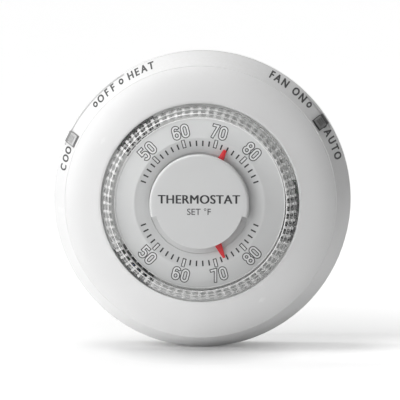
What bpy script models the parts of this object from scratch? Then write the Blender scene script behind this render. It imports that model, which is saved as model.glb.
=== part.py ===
"""Round wall thermostat: wall plate, case, clear setting dial, thermometer and two selector levers.

The part stands upright with its back on the wall plane y = 0 and its face towards -Y. The origin is the centre of
the wall plate's back. All pieces are modelled in the face frame: X to the right, Y up and Z from the wall out into
the room, as someone standing in front of the thermostat sees it. Angles round the dial are clockwise from the top.
"""

import math

import bmesh
import bpy
from mathutils import Matrix, Vector

# ---------------------------------------------------------------- driving sizes, in metres
CASE_DIAMETER = 0.090
CASE_DEPTH = 0.038
MM = 0.001
ACROSS = CASE_DIAMETER / 90  # one millimetre of face plan at the nominal diameter
DEEP = CASE_DEPTH / 38  # one millimetre of depth at the nominal depth

GAP = 0.3 * MM  # between pieces that touch
REST_GAP = 0.3 * MM  # between pieces that rest on each other, in depth
RUNNING_GAP = 0.4 * MM  # round a piece that turns

# Case
CASE_RADIUS = CASE_DIAMETER / 2
CASE_WALL = 1.6 * MM
CREASE_RADIUS = 41.1 * ACROSS
CREASE_LEVEL = 26.8 * DEEP
BEVEL_FOOT_LEVEL = 17.0 * DEEP
PARTING_LEVEL = 15.5 * DEEP
COVER_SKIN = 1.6 * MM
LIP_LEVEL = 31.1 * DEEP
LIP_ROUND = 0.6 * MM
WELL_FLOOR_LEVEL = 25.6 * DEEP
WELL_FLOOR_SKIN = 1.0 * MM
WELL_WALL = 1.2 * MM
LEDGE_RADIUS = 13.6 * ACROSS
CLIP_WINDOW_ANGLES = (90, 226, 316)
CLIP_WINDOW_HALF_ANGLE = 13
CLIP_WINDOW_WIDTH = 2.6 * MM
SKIRT_LEVEL = 0.6 * DEEP
SKIRT_RADIUS = 43.8 * ACROSS
FLOOR_BACK_LEVEL = 10.6 * DEEP
FLOOR_FRONT_LEVEL = 12.0 * DEEP

# Setting dial
RING_OUTER_RADIUS = 29.7 * ACROSS
RING_WIDTH = 3.5 * ACROSS
RING_TOP_LEVEL = 36.8 * DEEP
RING_FOOT_LEVEL = 27.6 * DEEP
WEB_BACK_LEVEL = 30.1 * DEEP
WEB_FRONT_LEVEL = 31.1 * DEEP
TOWER_RADIUS = 10.5 * ACROSS
TOWER_WALL = 1.5 * MM
SLEEVE_WALL = 1.5 * MM
SLEEVE_FOOT_LEVEL = 18.0 * DEEP
TRACK_RADIUS = 16.8 * ACROSS

# Scale plate and centre cap
CAP_RADIUS = 15.0 * ACROSS
CAP_TOP_LEVEL = CASE_DEPTH
CAP_SKIN = 1.5 * MM
CAP_WALL = 1.4 * MM
CAP_WALL_FOOT_LEVEL = 35.0 * DEEP
CAP_ROUND = 1.2 * MM
CUTOUT_RADIUS = 13.3 * ACROSS
CUTOUT_HALF_ANGLE = 75
PLATE_LEVEL = 32.6 * DEEP
CREST_RISE = 1.0 * DEEP
CREST_SHARE = 0.42
PIT_LEVEL = 32.4 * DEEP
PLATE_UNDERSIDE_LEVEL = WEB_FRONT_LEVEL + REST_GAP

# Pointers
POINTER_LEVEL = 34.0 * DEEP
POINTER_THICKNESS = 0.5 * MM
POINTER_PROUD = 3.0 * MM
POINTER_ROOT_WIDTH = 1.5 * MM
POINTER_TIP_WIDTH = 0.7 * MM
FOOT_RADIUS = 12.0 * ACROSS
FOOT_DEPTH = 1.1 * MM
ARBOR_RADIUS = 0.8 * MM
POINTER_SWEEP = 75
SET_ANGLE = 25.5
ROOM_ANGLE = 180 - 24.5

# Selector levers
TAB_WIDTH = 3.3 * MM
TAB_THICKNESS = 0.55 * MM
TAB_TOP_LEVEL = 24.0 * DEEP
LEVER_BACK_LEVEL = 17.6 * DEEP
LEVER_FRONT_LEVEL = 18.4 * DEEP
SLOT_MARGIN = 0.4 * MM
LEVER_ROOT_RADIUS = 34.2 * ACROSS
SHUTTER_RADIUS = 41.3 * ACROSS
SHUTTER_THICKNESS = 0.6 * MM
SYSTEM_REST_ANGLE = -65.4
SYSTEM_TRAVEL = 30.6
FAN_REST_ANGLE = 57.5
FAN_TRAVEL = -9.0
SLOT_END_ALLOWANCE = 3.0

# Electronics
BOARD_RADIUS = 33.5 * ACROSS
BOARD_BACK_LEVEL = 13.2 * DEEP
BOARD_FRONT_LEVEL = 14.8 * DEEP
PART_LEVEL = BOARD_FRONT_LEVEL + REST_GAP
RELAY_SIZE = (12.0 * ACROSS, 9.0 * ACROSS, 8.0 * DEEP)
RELAY_CIRCLE = 25.8 * ACROSS
RELAY_ANGLES = (144, 180, 216)
CAPACITOR_RADIUS = 3.1 * MM
CAPACITOR_HEIGHT = 7.0 * DEEP
CAPACITOR_CIRCLE = 25.5 * ACROSS
CAPACITOR_ANGLES = (108, 252)
CHIP_SIZE = (8.0 * ACROSS, 8.0 * ACROSS, 1.3 * DEEP)
CHIP_CIRCLE = 25.0 * ACROSS
THERMISTOR_CIRCLE = 25.0 * ACROSS
THERMISTOR_BEAD_RADIUS = 1.2 * MM
HEADER_SIZE = (3.2 * ACROSS, 12.6 * ACROSS, 3.0 * DEEP)
HEADER_OFFSET = 27.6 * ACROSS
PIN_SIDE = 0.7 * MM
PIN_PITCH = 3.4 * ACROSS
PIN_COUNT = 4
PIN_TIP_LEVEL = 5.2 * DEEP
SWITCH_SIZE = (8.0 * ACROSS, 4.0 * ACROSS, 2.9 * DEEP)
SWITCH_OFFSET = -24.0 * ACROSS
SLIDER_SIZE = (2.2 * ACROSS, 1.8 * ACROSS, 1.1 * DEEP)
SLIDER_TRAVEL = 1.2 * MM

# Wall side
PLATE_RADIUS = 41.0 * ACROSS
PLATE_BACK_SKIN = 2.4 * DEEP
PLATE_RIM_WIDTH = 1.8 * MM
PLATE_RIM_LEVEL = 4.2 * DEEP
WIRE_OPENING_SIZE = (24.0 * ACROSS, 11.0 * ACROSS)
WIRE_OPENING_OFFSET = 10.0 * ACROSS
SCREW_SLOT_SIZE = (9.0 * ACROSS, 4.4 * ACROSS)
SCREW_SLOT_OFFSET = 29.0 * ACROSS
BLOCK_SIZE = (13.0 * ACROSS, 34.0 * ACROSS, 5.7 * DEEP)
BLOCK_OFFSET = 24.8 * ACROSS
BLOCK_SLOT_SIZE = (2.2 * ACROSS, 13.4 * ACROSS)
TERMINAL_OFFSET = 22.2 * ACROSS
TERMINAL_PITCH = 8.3 * ACROSS
TERMINAL_COUNT = 4
CLAMP_SIZE = (5.0 * ACROSS, 5.6 * ACROSS, 0.6 * DEEP)
TERMINAL_HEAD_RADIUS = 1.9 * MM
TERMINAL_SHANK_RADIUS = 1.0 * MM
TERMINAL_HEAD_HEIGHT = 0.7 * DEEP

# Case screws
BOSS_CIRCLE = 38.0 * ACROSS
BOSS_RADIUS = 2.2 * MM
BOSS_BORE_RADIUS = 1.2 * MM
BOSS_ANGLES = (0, 120, 240)
CASE_SCREW_HEAD_RADIUS = 2.1 * MM
CASE_SCREW_SHANK_RADIUS = 0.8 * MM
CASE_SCREW_HEAD_HEIGHT = 1.2 * MM
CASE_SCREW_TIP_LEVEL = 20.0 * DEEP

# Bimetal coil
COIL_INNER_RADIUS = 2.2 * ACROSS
COIL_OUTER_RADIUS = 7.8 * ACROSS
COIL_TURNS = 3
COIL_BACK_LEVEL = 21.0 * DEEP
COIL_WIDTH = 4.0 * DEEP
COIL_THICKNESS = 0.4 * MM

# Facets of a full circle, by the size of the piece
CASE_FACETS = 72
DIAL_FACETS = 60
SMALL_FACETS = 36
SCREW_FACETS = 14
MERGE = 0.00001

# ---------------------------------------------------------------- scene and helpers
for left_over in list(bpy.data.objects):
    bpy.data.objects.remove(left_over, do_unlink=True)

PARTS = bpy.data.collections.new("wall_thermostat")
CUTTERS = bpy.data.collections.new("cutters")
bpy.context.scene.collection.children.link(PARTS)
bpy.context.scene.collection.children.link(CUTTERS)

FACE = bpy.data.objects.new("face_frame", None)
FACE.rotation_euler = (math.radians(90), 0, 0)
PARTS.objects.link(FACE)


def material(name, colour, roughness, metallic=0.0, transmission=0.0):
    made = bpy.data.materials.new(name)
    made.use_nodes = True
    shader = made.node_tree.nodes["Principled BSDF"]
    shader.inputs["Base Color"].default_value = (*colour, 1)
    shader.inputs["Roughness"].default_value = roughness
    shader.inputs["Metallic"].default_value = metallic
    shader.inputs["Transmission Weight"].default_value = transmission
    return made


CASE_WHITE = material("case_white", (0.80, 0.80, 0.80), 0.42)
SCALE_GREY = material("scale_grey", (0.62, 0.63, 0.63), 0.45)
CAP_GREY = material("cap_grey", (0.66, 0.67, 0.67), 0.40)
CLEAR = material("clear_acrylic", (0.95, 0.96, 0.97), 0.06, transmission=1.0)
POINTER_RED = material("pointer_red", (0.62, 0.03, 0.04), 0.35)
LEVER_GREY = material("lever_grey", (0.16, 0.16, 0.17), 0.45)
LEVER_WHITE = material("lever_white", (0.70, 0.70, 0.70), 0.40)
BOARD_GREEN = material("board_green", (0.03, 0.16, 0.08), 0.40)
BLACK = material("black_plastic", (0.02, 0.02, 0.02), 0.45)
RELAY_BLUE = material("relay_blue", (0.05, 0.13, 0.36), 0.40)
BRASS = material("brass", (0.76, 0.56, 0.26), 0.30, 1.0)
STEEL = material("steel", (0.60, 0.60, 0.62), 0.30, 1.0)
COPPER = material("copper_alloy", (0.72, 0.43, 0.26), 0.30, 1.0)


def add(name, mesh, look):
    made = bpy.data.objects.new(name, mesh)
    mesh.materials.append(look)
    PARTS.objects.link(made)
    made.parent = FACE
    return made


def as_tool(obj):
    """Turns an object into a hidden operand of a Boolean."""
    PARTS.objects.unlink(obj)
    CUTTERS.objects.link(obj)
    obj.hide_render = True
    obj.display_type = "WIRE"
    return obj


def combine(obj, operation, operand):
    step = obj.modifiers.new(operation.lower() + "_" + operand.name, "BOOLEAN")
    step.operation = operation
    step.object = as_tool(operand)
    return obj


def cut(obj, operand):
    return combine(obj, "DIFFERENCE", operand)


def fuse(obj, operand):
    return combine(obj, "UNION", operand)


def round_shading(mesh):
    mesh.shade_smooth()
    mesh.set_sharp_from_angle(angle=math.radians(30))


def turned(name, profile, look, facets, closed=True):
    """A body of revolution from (radius, level) points that run out over the top and down the outer side."""
    mesh = bpy.data.meshes.new(name)
    count = len(profile)
    edges = [(i, i + 1) for i in range(count - 1)]
    if closed:
        edges.append((count - 1, 0))
    mesh.from_pydata([(radius, 0, level) for radius, level in profile], edges, [])
    obj = add(name, mesh, look)
    screw = obj.modifiers.new("turn", "SCREW")
    screw.steps = facets
    screw.render_steps = facets
    screw.use_merge_vertices = True
    screw.merge_threshold = MERGE
    screw.use_smooth_shade = True
    return obj


def box(name, size, centre, look):
    """A box of (x, y, z) size whose centre is at centre, in the face frame."""
    mesh = bpy.data.meshes.new(name)
    shape = bmesh.new()
    bmesh.ops.create_cube(shape, size=1, matrix=Matrix.Diagonal((*size, 1)))
    shape.to_mesh(mesh)
    shape.free()
    obj = add(name, mesh, look)
    obj.location = centre
    return obj


def rod(name, radius, back, front, look, facets=SCREW_FACETS, place=(0, 0)):
    """A cylinder along the depth, from level back to level front."""
    mesh = bpy.data.meshes.new(name)
    shape = bmesh.new()
    bmesh.ops.create_cone(
        shape, cap_ends=True, segments=facets, radius1=radius, radius2=radius, depth=front - back
    )
    shape.to_mesh(mesh)
    shape.free()
    round_shading(mesh)
    obj = add(name, mesh, look)
    obj.location = (place[0], place[1], (back + front) / 2)
    return obj


def flat_piece(name, outline, back, front, look):
    """A flat outline in the face plane, filled and extruded from level back to level front, as a mesh."""
    curve = bpy.data.curves.new(name, "CURVE")
    curve.dimensions = "2D"
    curve.fill_mode = "BOTH"
    curve.extrude = (front - back) / 2
    spline = curve.splines.new("POLY")
    spline.points.add(len(outline) - 1)
    for point, (x, y) in zip(spline.points, outline):
        point.co = (x, y, 0, 1)
    spline.use_cyclic_u = True
    guide = bpy.data.objects.new(name + "_outline", curve)
    CUTTERS.objects.link(guide)
    bpy.context.view_layer.update()
    graph = bpy.context.evaluated_depsgraph_get()
    mesh = bpy.data.meshes.new_from_object(guide.evaluated_get(graph))
    bpy.data.objects.remove(guide, do_unlink=True)
    shape = bmesh.new()
    shape.from_mesh(mesh)
    bmesh.ops.remove_doubles(shape, verts=shape.verts, dist=MERGE)
    bmesh.ops.recalc_face_normals(shape, faces=shape.faces)
    shape.to_mesh(mesh)
    shape.free()
    mesh.materials.clear()
    obj = add(name, mesh, look)
    obj.location = (0, 0, (back + front) / 2)
    return obj


def on_dial(radius, angle):
    """The point at this radius and this angle clockwise from the top."""
    turn = math.radians(angle)
    return Vector((radius * math.sin(turn), radius * math.cos(turn)))


def sector(name, inner, outer, start, end, back, front, look=CASE_WHITE):
    """A part of a flat ring between two angles clockwise from the top."""
    count = max(2, round((end - start) / 5))
    angles = [start + (end - start) * i / count for i in range(count + 1)]
    outline = [on_dial(outer, angle) for angle in angles]
    outline += [on_dial(inner, angle) for angle in reversed(angles)]
    return flat_piece(name, outline, back, front, look)


def slice_of(ring, width, reach, both_sides=False):
    """Keeps the strip of a turned ring that lies over the top of the dial, this wide."""
    low = -reach if both_sides else 0
    middle = (0, (reach + low) / 2, CASE_DEPTH / 2)
    keep = box(ring.name + "_strip", (width, reach - low, CASE_DEPTH * 2), middle, BLACK)
    return combine(ring, "INTERSECT", keep)


def turn_to(obj, angle):
    obj.rotation_euler = (0, 0, -math.radians(angle))
    return obj


def bevel_radius(level):
    """The radius of the cover's bevelled rim at this level."""
    share = (level - BEVEL_FOOT_LEVEL) / (CREASE_LEVEL - BEVEL_FOOT_LEVEL)
    return CASE_RADIUS + share * (CREASE_RADIUS - CASE_RADIUS)


# ---------------------------------------------------------------- wall side
wall_plate = turned(
    "wall_plate",
    [
        (0, PLATE_BACK_SKIN),
        (PLATE_RADIUS - PLATE_RIM_WIDTH, PLATE_BACK_SKIN),
        (PLATE_RADIUS - PLATE_RIM_WIDTH, PLATE_RIM_LEVEL),
        (PLATE_RADIUS, PLATE_RIM_LEVEL),
        (PLATE_RADIUS, 0),
        (0, 0),
    ],
    CASE_WHITE,
    CASE_FACETS,
    closed=False,
)
cut(
    wall_plate,
    box(
        "wire_opening_cutter",
        (*WIRE_OPENING_SIZE, PLATE_BACK_SKIN * 3),
        (0, WIRE_OPENING_OFFSET, 0),
        CASE_WHITE,
    ),
)
for side in (-1, 1):
    cut(
        wall_plate,
        box(
            f"screw_slot_cutter_{'lower' if side < 0 else 'upper'}",
            (*SCREW_SLOT_SIZE, PLATE_BACK_SKIN * 3),
            (0, side * SCREW_SLOT_OFFSET, 0),
            CASE_WHITE,
        ),
    )

BLOCK_BACK_LEVEL = PLATE_BACK_SKIN + REST_GAP
BLOCK_FRONT_LEVEL = BLOCK_BACK_LEVEL + BLOCK_SIZE[2]
CLAMP_BACK_LEVEL = BLOCK_FRONT_LEVEL + REST_GAP
HEAD_BACK_LEVEL = CLAMP_BACK_LEVEL + CLAMP_SIZE[2] + REST_GAP
HEAD_FRONT_LEVEL = HEAD_BACK_LEVEL + TERMINAL_HEAD_HEIGHT
SHANK_TIP_LEVEL = BLOCK_BACK_LEVEL + BLOCK_SIZE[2] / 3
BORE_FOOT_LEVEL = SHANK_TIP_LEVEL - REST_GAP
TERMINAL_BORE_RADIUS = TERMINAL_SHANK_RADIUS + GAP


def terminal_row(side, word):
    """One terminal block with its clamps and screws, left of the middle for -1 and right of it for 1."""
    block = box(
        f"terminal_block_{word}",
        BLOCK_SIZE,
        (side * BLOCK_OFFSET, 0, BLOCK_BACK_LEVEL + BLOCK_SIZE[2] / 2),
        BLACK,
    )
    slot_depth = BLOCK_FRONT_LEVEL - PIN_TIP_LEVEL + 3 * REST_GAP
    slot_centre = (side * HEADER_OFFSET, 0, BLOCK_FRONT_LEVEL - slot_depth / 2 + REST_GAP)
    cut(
        block,
        box(f"pin_slot_cutter_{word}", (*BLOCK_SLOT_SIZE, slot_depth + REST_GAP), slot_centre, BLACK),
    )
    for number in range(TERMINAL_COUNT):
        along = (number - (TERMINAL_COUNT - 1) / 2) * TERMINAL_PITCH
        place = (side * TERMINAL_OFFSET, along)
        label = f"{word}_{number + 1}"
        cut(
            block,
            rod(
                f"terminal_bore_cutter_{label}",
                TERMINAL_BORE_RADIUS,
                BORE_FOOT_LEVEL,
                CLAMP_BACK_LEVEL,
                BLACK,
                place=place,
            ),
        )
        clamp = box(
            f"terminal_clamp_{label}",
            CLAMP_SIZE,
            (*place, CLAMP_BACK_LEVEL + CLAMP_SIZE[2] / 2),
            BRASS,
        )
        cut(
            clamp,
            rod(
                f"clamp_hole_cutter_{label}",
                TERMINAL_BORE_RADIUS,
                BLOCK_FRONT_LEVEL,
                HEAD_FRONT_LEVEL,
                BRASS,
                place=place,
            ),
        )
        screw = rod(
            f"terminal_screw_{label}",
            TERMINAL_HEAD_RADIUS,
            HEAD_BACK_LEVEL,
            HEAD_FRONT_LEVEL,
            STEEL,
            place=place,
        )
        fuse(
            screw,
            rod(
                f"terminal_shank_{label}",
                TERMINAL_SHANK_RADIUS,
                SHANK_TIP_LEVEL,
                (HEAD_BACK_LEVEL + HEAD_FRONT_LEVEL) / 2,
                STEEL,
                place=place,
            ),
        )


terminal_row(-1, "left")
terminal_row(1, "right")

# ---------------------------------------------------------------- rear housing
HOUSING_WALL_RADIUS = SKIRT_RADIUS - 0.75 * CASE_WALL
rear_housing = turned(
    "rear_housing",
    [
        (0, FLOOR_FRONT_LEVEL),
        (TOWER_RADIUS - TOWER_WALL, FLOOR_FRONT_LEVEL),
        (TOWER_RADIUS - TOWER_WALL, WEB_FRONT_LEVEL),
        (TOWER_RADIUS, WEB_FRONT_LEVEL),
        (TOWER_RADIUS, FLOOR_FRONT_LEVEL),
        (CASE_RADIUS - CASE_WALL, FLOOR_FRONT_LEVEL),
        (CASE_RADIUS - CASE_WALL, PARTING_LEVEL),
        (CASE_RADIUS, PARTING_LEVEL),
        (CASE_RADIUS - (CASE_RADIUS - SKIRT_RADIUS) / 3, PARTING_LEVEL / 2),
        (SKIRT_RADIUS, 2 * SKIRT_LEVEL),
        (SKIRT_RADIUS - SKIRT_LEVEL / 2, SKIRT_LEVEL),
        (HOUSING_WALL_RADIUS, SKIRT_LEVEL),
        (HOUSING_WALL_RADIUS, FLOOR_BACK_LEVEL),
        (0, FLOOR_BACK_LEVEL),
    ],
    CASE_WHITE,
    CASE_FACETS,
    closed=False,
)
FLOOR_MIDDLE = (FLOOR_BACK_LEVEL + FLOOR_FRONT_LEVEL) / 2
FLOOR_CUT = 2 * (FLOOR_FRONT_LEVEL - FLOOR_BACK_LEVEL)
for side, word in ((-1, "left"), (1, "right")):
    window = (HEADER_SIZE[0] + 2 * GAP, HEADER_SIZE[1] + 2 * GAP, FLOOR_CUT)
    cut(
        rear_housing,
        box(f"header_window_cutter_{word}", window, (side * HEADER_OFFSET, 0, FLOOR_MIDDLE), BLACK),
    )
switch_window = (SWITCH_SIZE[0] + 2 * GAP, SWITCH_SIZE[1] + 2 * GAP, FLOOR_CUT)
cut(
    rear_housing,
    box("switch_window_cutter", switch_window, (0, SWITCH_OFFSET, FLOOR_MIDDLE), BLACK),
)
for number, angle in enumerate(BOSS_ANGLES, 1):
    cut(
        rear_housing,
        rod(
            f"case_screw_hole_cutter_{number}",
            BOSS_BORE_RADIUS,
            FLOOR_BACK_LEVEL - REST_GAP,
            FLOOR_FRONT_LEVEL + REST_GAP,
            CASE_WHITE,
            place=on_dial(BOSS_CIRCLE, angle),
        ),
    )

# ---------------------------------------------------------------- front cover
WELL_RADIUS = RING_OUTER_RADIUS + RUNNING_GAP
LIP_RADIUS = WELL_RADIUS + LIP_ROUND
COVER_FOOT_LEVEL = PARTING_LEVEL + REST_GAP


def dome(share):
    """A point of the cover's face, from the lip at share 0 out to the crease at share 1."""
    radius = LIP_RADIUS + share * (CREASE_RADIUS - LIP_RADIUS)
    return radius, LIP_LEVEL + (CREASE_LEVEL - LIP_LEVEL) * share**1.6


face_shares = (0, 0.2, 0.4, 0.6, 0.8, 0.93)
face_points = [dome(share) for share in face_shares]
under_points = [
    (radius - CASE_WALL / 3, level - COVER_SKIN) for radius, level in reversed(face_points[2:])
]
front_cover = turned(
    "front_cover",
    [
        (WELL_RADIUS, LIP_LEVEL - LIP_ROUND),
        *face_points,
        (CREASE_RADIUS, CREASE_LEVEL),
        (CASE_RADIUS, BEVEL_FOOT_LEVEL),
        (CASE_RADIUS, COVER_FOOT_LEVEL),
        (CASE_RADIUS - CASE_WALL, COVER_FOOT_LEVEL),
        (CASE_RADIUS - CASE_WALL, BEVEL_FOOT_LEVEL),
        *under_points,
        (WELL_RADIUS + WELL_WALL, face_points[2][1] - COVER_SKIN),
        (WELL_RADIUS + WELL_WALL, WELL_FLOOR_LEVEL),
        (LEDGE_RADIUS, WELL_FLOOR_LEVEL),
        (LEDGE_RADIUS, WELL_FLOOR_LEVEL + WELL_FLOOR_SKIN),
        (WELL_RADIUS, WELL_FLOOR_LEVEL + WELL_FLOOR_SKIN),
    ],
    CASE_WHITE,
    CASE_FACETS,
)
for number, angle in enumerate(CLIP_WINDOW_ANGLES, 1):
    cut(
        front_cover,
        sector(
            f"clip_window_cutter_{number}",
            WELL_RADIUS - CLIP_WINDOW_WIDTH - GAP,
            WELL_RADIUS - GAP,
            angle - CLIP_WINDOW_HALF_ANGLE,
            angle + CLIP_WINDOW_HALF_ANGLE,
            WELL_FLOOR_LEVEL - REST_GAP,
            WELL_FLOOR_LEVEL + WELL_FLOOR_SKIN + REST_GAP,
        ),
    )
SLOT_BACK_LEVEL = LEVER_BACK_LEVEL - SLOT_MARGIN
SLOT_FRONT_LEVEL = LEVER_FRONT_LEVEL + SLOT_MARGIN
BOSS_FOOT_LEVEL = FLOOR_FRONT_LEVEL + REST_GAP
BOSS_TOP_LEVEL = dome(1)[1] + REST_GAP
for number, angle in enumerate(BOSS_ANGLES, 1):
    place = on_dial(BOSS_CIRCLE, angle)
    fuse(
        front_cover,
        rod(f"boss_{number}", BOSS_RADIUS, BOSS_FOOT_LEVEL, BOSS_TOP_LEVEL, CASE_WHITE, place=place),
    )
    cut(
        front_cover,
        rod(
            f"boss_bore_cutter_{number}",
            BOSS_BORE_RADIUS,
            BOSS_FOOT_LEVEL - REST_GAP,
            CASE_SCREW_TIP_LEVEL + 2 * REST_GAP,
            CASE_WHITE,
            place=place,
        ),
    )
for word, rest, travel in (
    ("system", SYSTEM_REST_ANGLE, SYSTEM_TRAVEL),
    ("fan", FAN_REST_ANGLE, FAN_TRAVEL),
):
    cut(
        front_cover,
        sector(
            f"{word}_slot_cutter",
            SHUTTER_RADIUS,
            CASE_RADIUS + CASE_WALL,
            min(rest, rest + travel) - SLOT_END_ALLOWANCE,
            max(rest, rest + travel) + SLOT_END_ALLOWANCE,
            SLOT_BACK_LEVEL,
            SLOT_FRONT_LEVEL,
        ),
    )

for number, angle in enumerate(BOSS_ANGLES, 1):
    place = on_dial(BOSS_CIRCLE, angle)
    head_front = FLOOR_BACK_LEVEL - REST_GAP
    head_back = head_front - CASE_SCREW_HEAD_HEIGHT
    screw = rod(
        f"case_screw_{number}", CASE_SCREW_HEAD_RADIUS, head_back, head_front, STEEL, place=place
    )
    fuse(
        screw,
        rod(
            f"case_screw_shank_{number}",
            CASE_SCREW_SHANK_RADIUS,
            head_back + CASE_SCREW_HEAD_HEIGHT / 2,
            CASE_SCREW_TIP_LEVEL,
            STEEL,
            place=place,
        ),
    )

# ---------------------------------------------------------------- circuit board and its parts
BOARD_HOLE_RADIUS = TOWER_RADIUS + RUNNING_GAP
circuit_board = turned(
    "circuit_board",
    [
        (BOARD_HOLE_RADIUS, BOARD_FRONT_LEVEL),
        (BOARD_RADIUS, BOARD_FRONT_LEVEL),
        (BOARD_RADIUS, BOARD_BACK_LEVEL),
        (BOARD_HOLE_RADIUS, BOARD_BACK_LEVEL),
    ],
    BOARD_GREEN,
    DIAL_FACETS,
)
for number, angle in enumerate(RELAY_ANGLES, 1):
    centre = (*on_dial(RELAY_CIRCLE, angle), PART_LEVEL + RELAY_SIZE[2] / 2)
    turn_to(box(f"relay_{number}", RELAY_SIZE, centre, RELAY_BLUE), angle)
for number, angle in enumerate(CAPACITOR_ANGLES, 1):
    rod(
        f"capacitor_{number}",
        CAPACITOR_RADIUS,
        PART_LEVEL,
        PART_LEVEL + CAPACITOR_HEIGHT,
        BLACK,
        facets=SMALL_FACETS,
        place=on_dial(CAPACITOR_CIRCLE, angle),
    )
box("controller_chip", CHIP_SIZE, (0, CHIP_CIRCLE, PART_LEVEL + CHIP_SIZE[2] / 2), BLACK)

bead_level = PART_LEVEL + 3 * THERMISTOR_BEAD_RADIUS
bead_mesh = bpy.data.meshes.new("thermistor")
bead = bmesh.new()
bmesh.ops.create_uvsphere(bead, u_segments=12, v_segments=8, radius=THERMISTOR_BEAD_RADIUS)
bead.to_mesh(bead_mesh)
bead.free()
round_shading(bead_mesh)
thermistor = add("thermistor", bead_mesh, BLACK)
thermistor.location = (-THERMISTOR_CIRCLE, 0, bead_level)
for side, word in ((-1, "inner"), (1, "outer")):
    leg_place = (-THERMISTOR_CIRCLE - side * THERMISTOR_BEAD_RADIUS / 2, 0)
    leg = rod(
        f"thermistor_leg_{word}",
        THERMISTOR_BEAD_RADIUS / 4,
        PART_LEVEL,
        bead_level,
        STEEL,
        facets=8,
        place=leg_place,
    )
    fuse(thermistor, leg)

HEADER_FRONT_LEVEL = BOARD_BACK_LEVEL - REST_GAP
for side, word in ((-1, "left"), (1, "right")):
    header = box(
        f"pin_header_{word}",
        HEADER_SIZE,
        (side * HEADER_OFFSET, 0, HEADER_FRONT_LEVEL - HEADER_SIZE[2] / 2),
        BLACK,
    )
    pin_front = HEADER_FRONT_LEVEL - HEADER_SIZE[2] / 2
    for number in range(PIN_COUNT):
        along = (number - (PIN_COUNT - 1) / 2) * PIN_PITCH
        pin = box(
            f"header_pin_{word}_{number + 1}",
            (PIN_SIDE, PIN_SIDE, pin_front - PIN_TIP_LEVEL),
            (side * HEADER_OFFSET, along, (pin_front + PIN_TIP_LEVEL) / 2),
            BRASS,
        )
        fuse(header, pin)

SWITCH_BACK_LEVEL = HEADER_FRONT_LEVEL - SWITCH_SIZE[2]
box(
    "fuel_switch",
    SWITCH_SIZE,
    (0, SWITCH_OFFSET, HEADER_FRONT_LEVEL - SWITCH_SIZE[2] / 2),
    BLACK,
)
box(
    "fuel_slider",
    SLIDER_SIZE,
    (-SLIDER_TRAVEL, SWITCH_OFFSET, SWITCH_BACK_LEVEL - REST_GAP - SLIDER_SIZE[2] / 2),
    CASE_WHITE,
)

# ---------------------------------------------------------------- setting dial
RING_INNER_RADIUS = RING_OUTER_RADIUS - RING_WIDTH
SLEEVE_RADIUS = TOWER_RADIUS + RUNNING_GAP
RING_EDGE = 0.5 * ACROSS
turned(
    "clear_dial",
    [
        (RING_INNER_RADIUS, RING_TOP_LEVEL - RING_EDGE),
        (RING_INNER_RADIUS + RING_EDGE, RING_TOP_LEVEL),
        (RING_INNER_RADIUS + 2 * RING_EDGE, RING_TOP_LEVEL),
        (RING_INNER_RADIUS + 3 * RING_EDGE, RING_TOP_LEVEL - RING_EDGE),
        (RING_OUTER_RADIUS - RING_EDGE, LIP_LEVEL + 2 * RING_EDGE),
        (RING_OUTER_RADIUS, LIP_LEVEL),
        (RING_OUTER_RADIUS, RING_FOOT_LEVEL),
        (RING_OUTER_RADIUS - 3 * RING_EDGE, RING_FOOT_LEVEL),
        (RING_OUTER_RADIUS - 3 * RING_EDGE, WEB_BACK_LEVEL),
        (SLEEVE_RADIUS, WEB_BACK_LEVEL),
        (SLEEVE_RADIUS, WEB_FRONT_LEVEL),
        (RING_INNER_RADIUS, WEB_FRONT_LEVEL),
    ],
    CLEAR,
    CASE_FACETS,
)
turned(
    "dial_sleeve",
    [
        (SLEEVE_RADIUS, WEB_BACK_LEVEL - REST_GAP),
        (SLEEVE_RADIUS + SLEEVE_WALL, WEB_BACK_LEVEL - REST_GAP),
        (SLEEVE_RADIUS + SLEEVE_WALL, SLEEVE_FOOT_LEVEL),
        (SLEEVE_RADIUS, SLEEVE_FOOT_LEVEL),
    ],
    CASE_WHITE,
    SMALL_FACETS,
)

STRIP = 0.35 * DEEP  # thickness of the sprung contact strips
WIPER_LEVEL = SLEEVE_FOOT_LEVEL - REST_GAP
WIPER_RING_RADIUS = SLEEVE_RADIUS + 2 * SLEEVE_WALL
wiper_ring = turned(
    "wiper_ring",
    [
        (SLEEVE_RADIUS + GAP, WIPER_LEVEL),
        (WIPER_RING_RADIUS, WIPER_LEVEL),
        (WIPER_RING_RADIUS, WIPER_LEVEL - STRIP),
        (SLEEVE_RADIUS + GAP, WIPER_LEVEL - STRIP),
    ],
    COPPER,
    SMALL_FACETS,
)
wiper_finger = turned(
    "wiper_finger",
    [
        (WIPER_RING_RADIUS - 2 * STRIP, WIPER_LEVEL),
        (WIPER_RING_RADIUS + STRIP, WIPER_LEVEL),
        (TRACK_RADIUS - STRIP, PART_LEVEL + STRIP),
        (TRACK_RADIUS + STRIP, PART_LEVEL + STRIP),
        (TRACK_RADIUS + STRIP, PART_LEVEL),
        (TRACK_RADIUS - 2 * STRIP, PART_LEVEL),
        (WIPER_RING_RADIUS, WIPER_LEVEL - STRIP),
        (WIPER_RING_RADIUS - 2 * STRIP, WIPER_LEVEL - STRIP),
    ],
    COPPER,
    SMALL_FACETS,
)
slice_of(wiper_finger, 1.6 * ACROSS, 2 * TRACK_RADIUS, both_sides=True)
fuse(wiper_ring, wiper_finger)
turn_to(wiper_ring, SET_ANGLE)
turn_to(wiper_finger, SET_ANGLE)
turn_to(bpy.data.objects["wiper_finger_strip"], SET_ANGLE)

POINTER_FRONT_LEVEL = POINTER_LEVEL + POINTER_THICKNESS
POINTER_REACH = CAP_RADIUS + POINTER_PROUD


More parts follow.
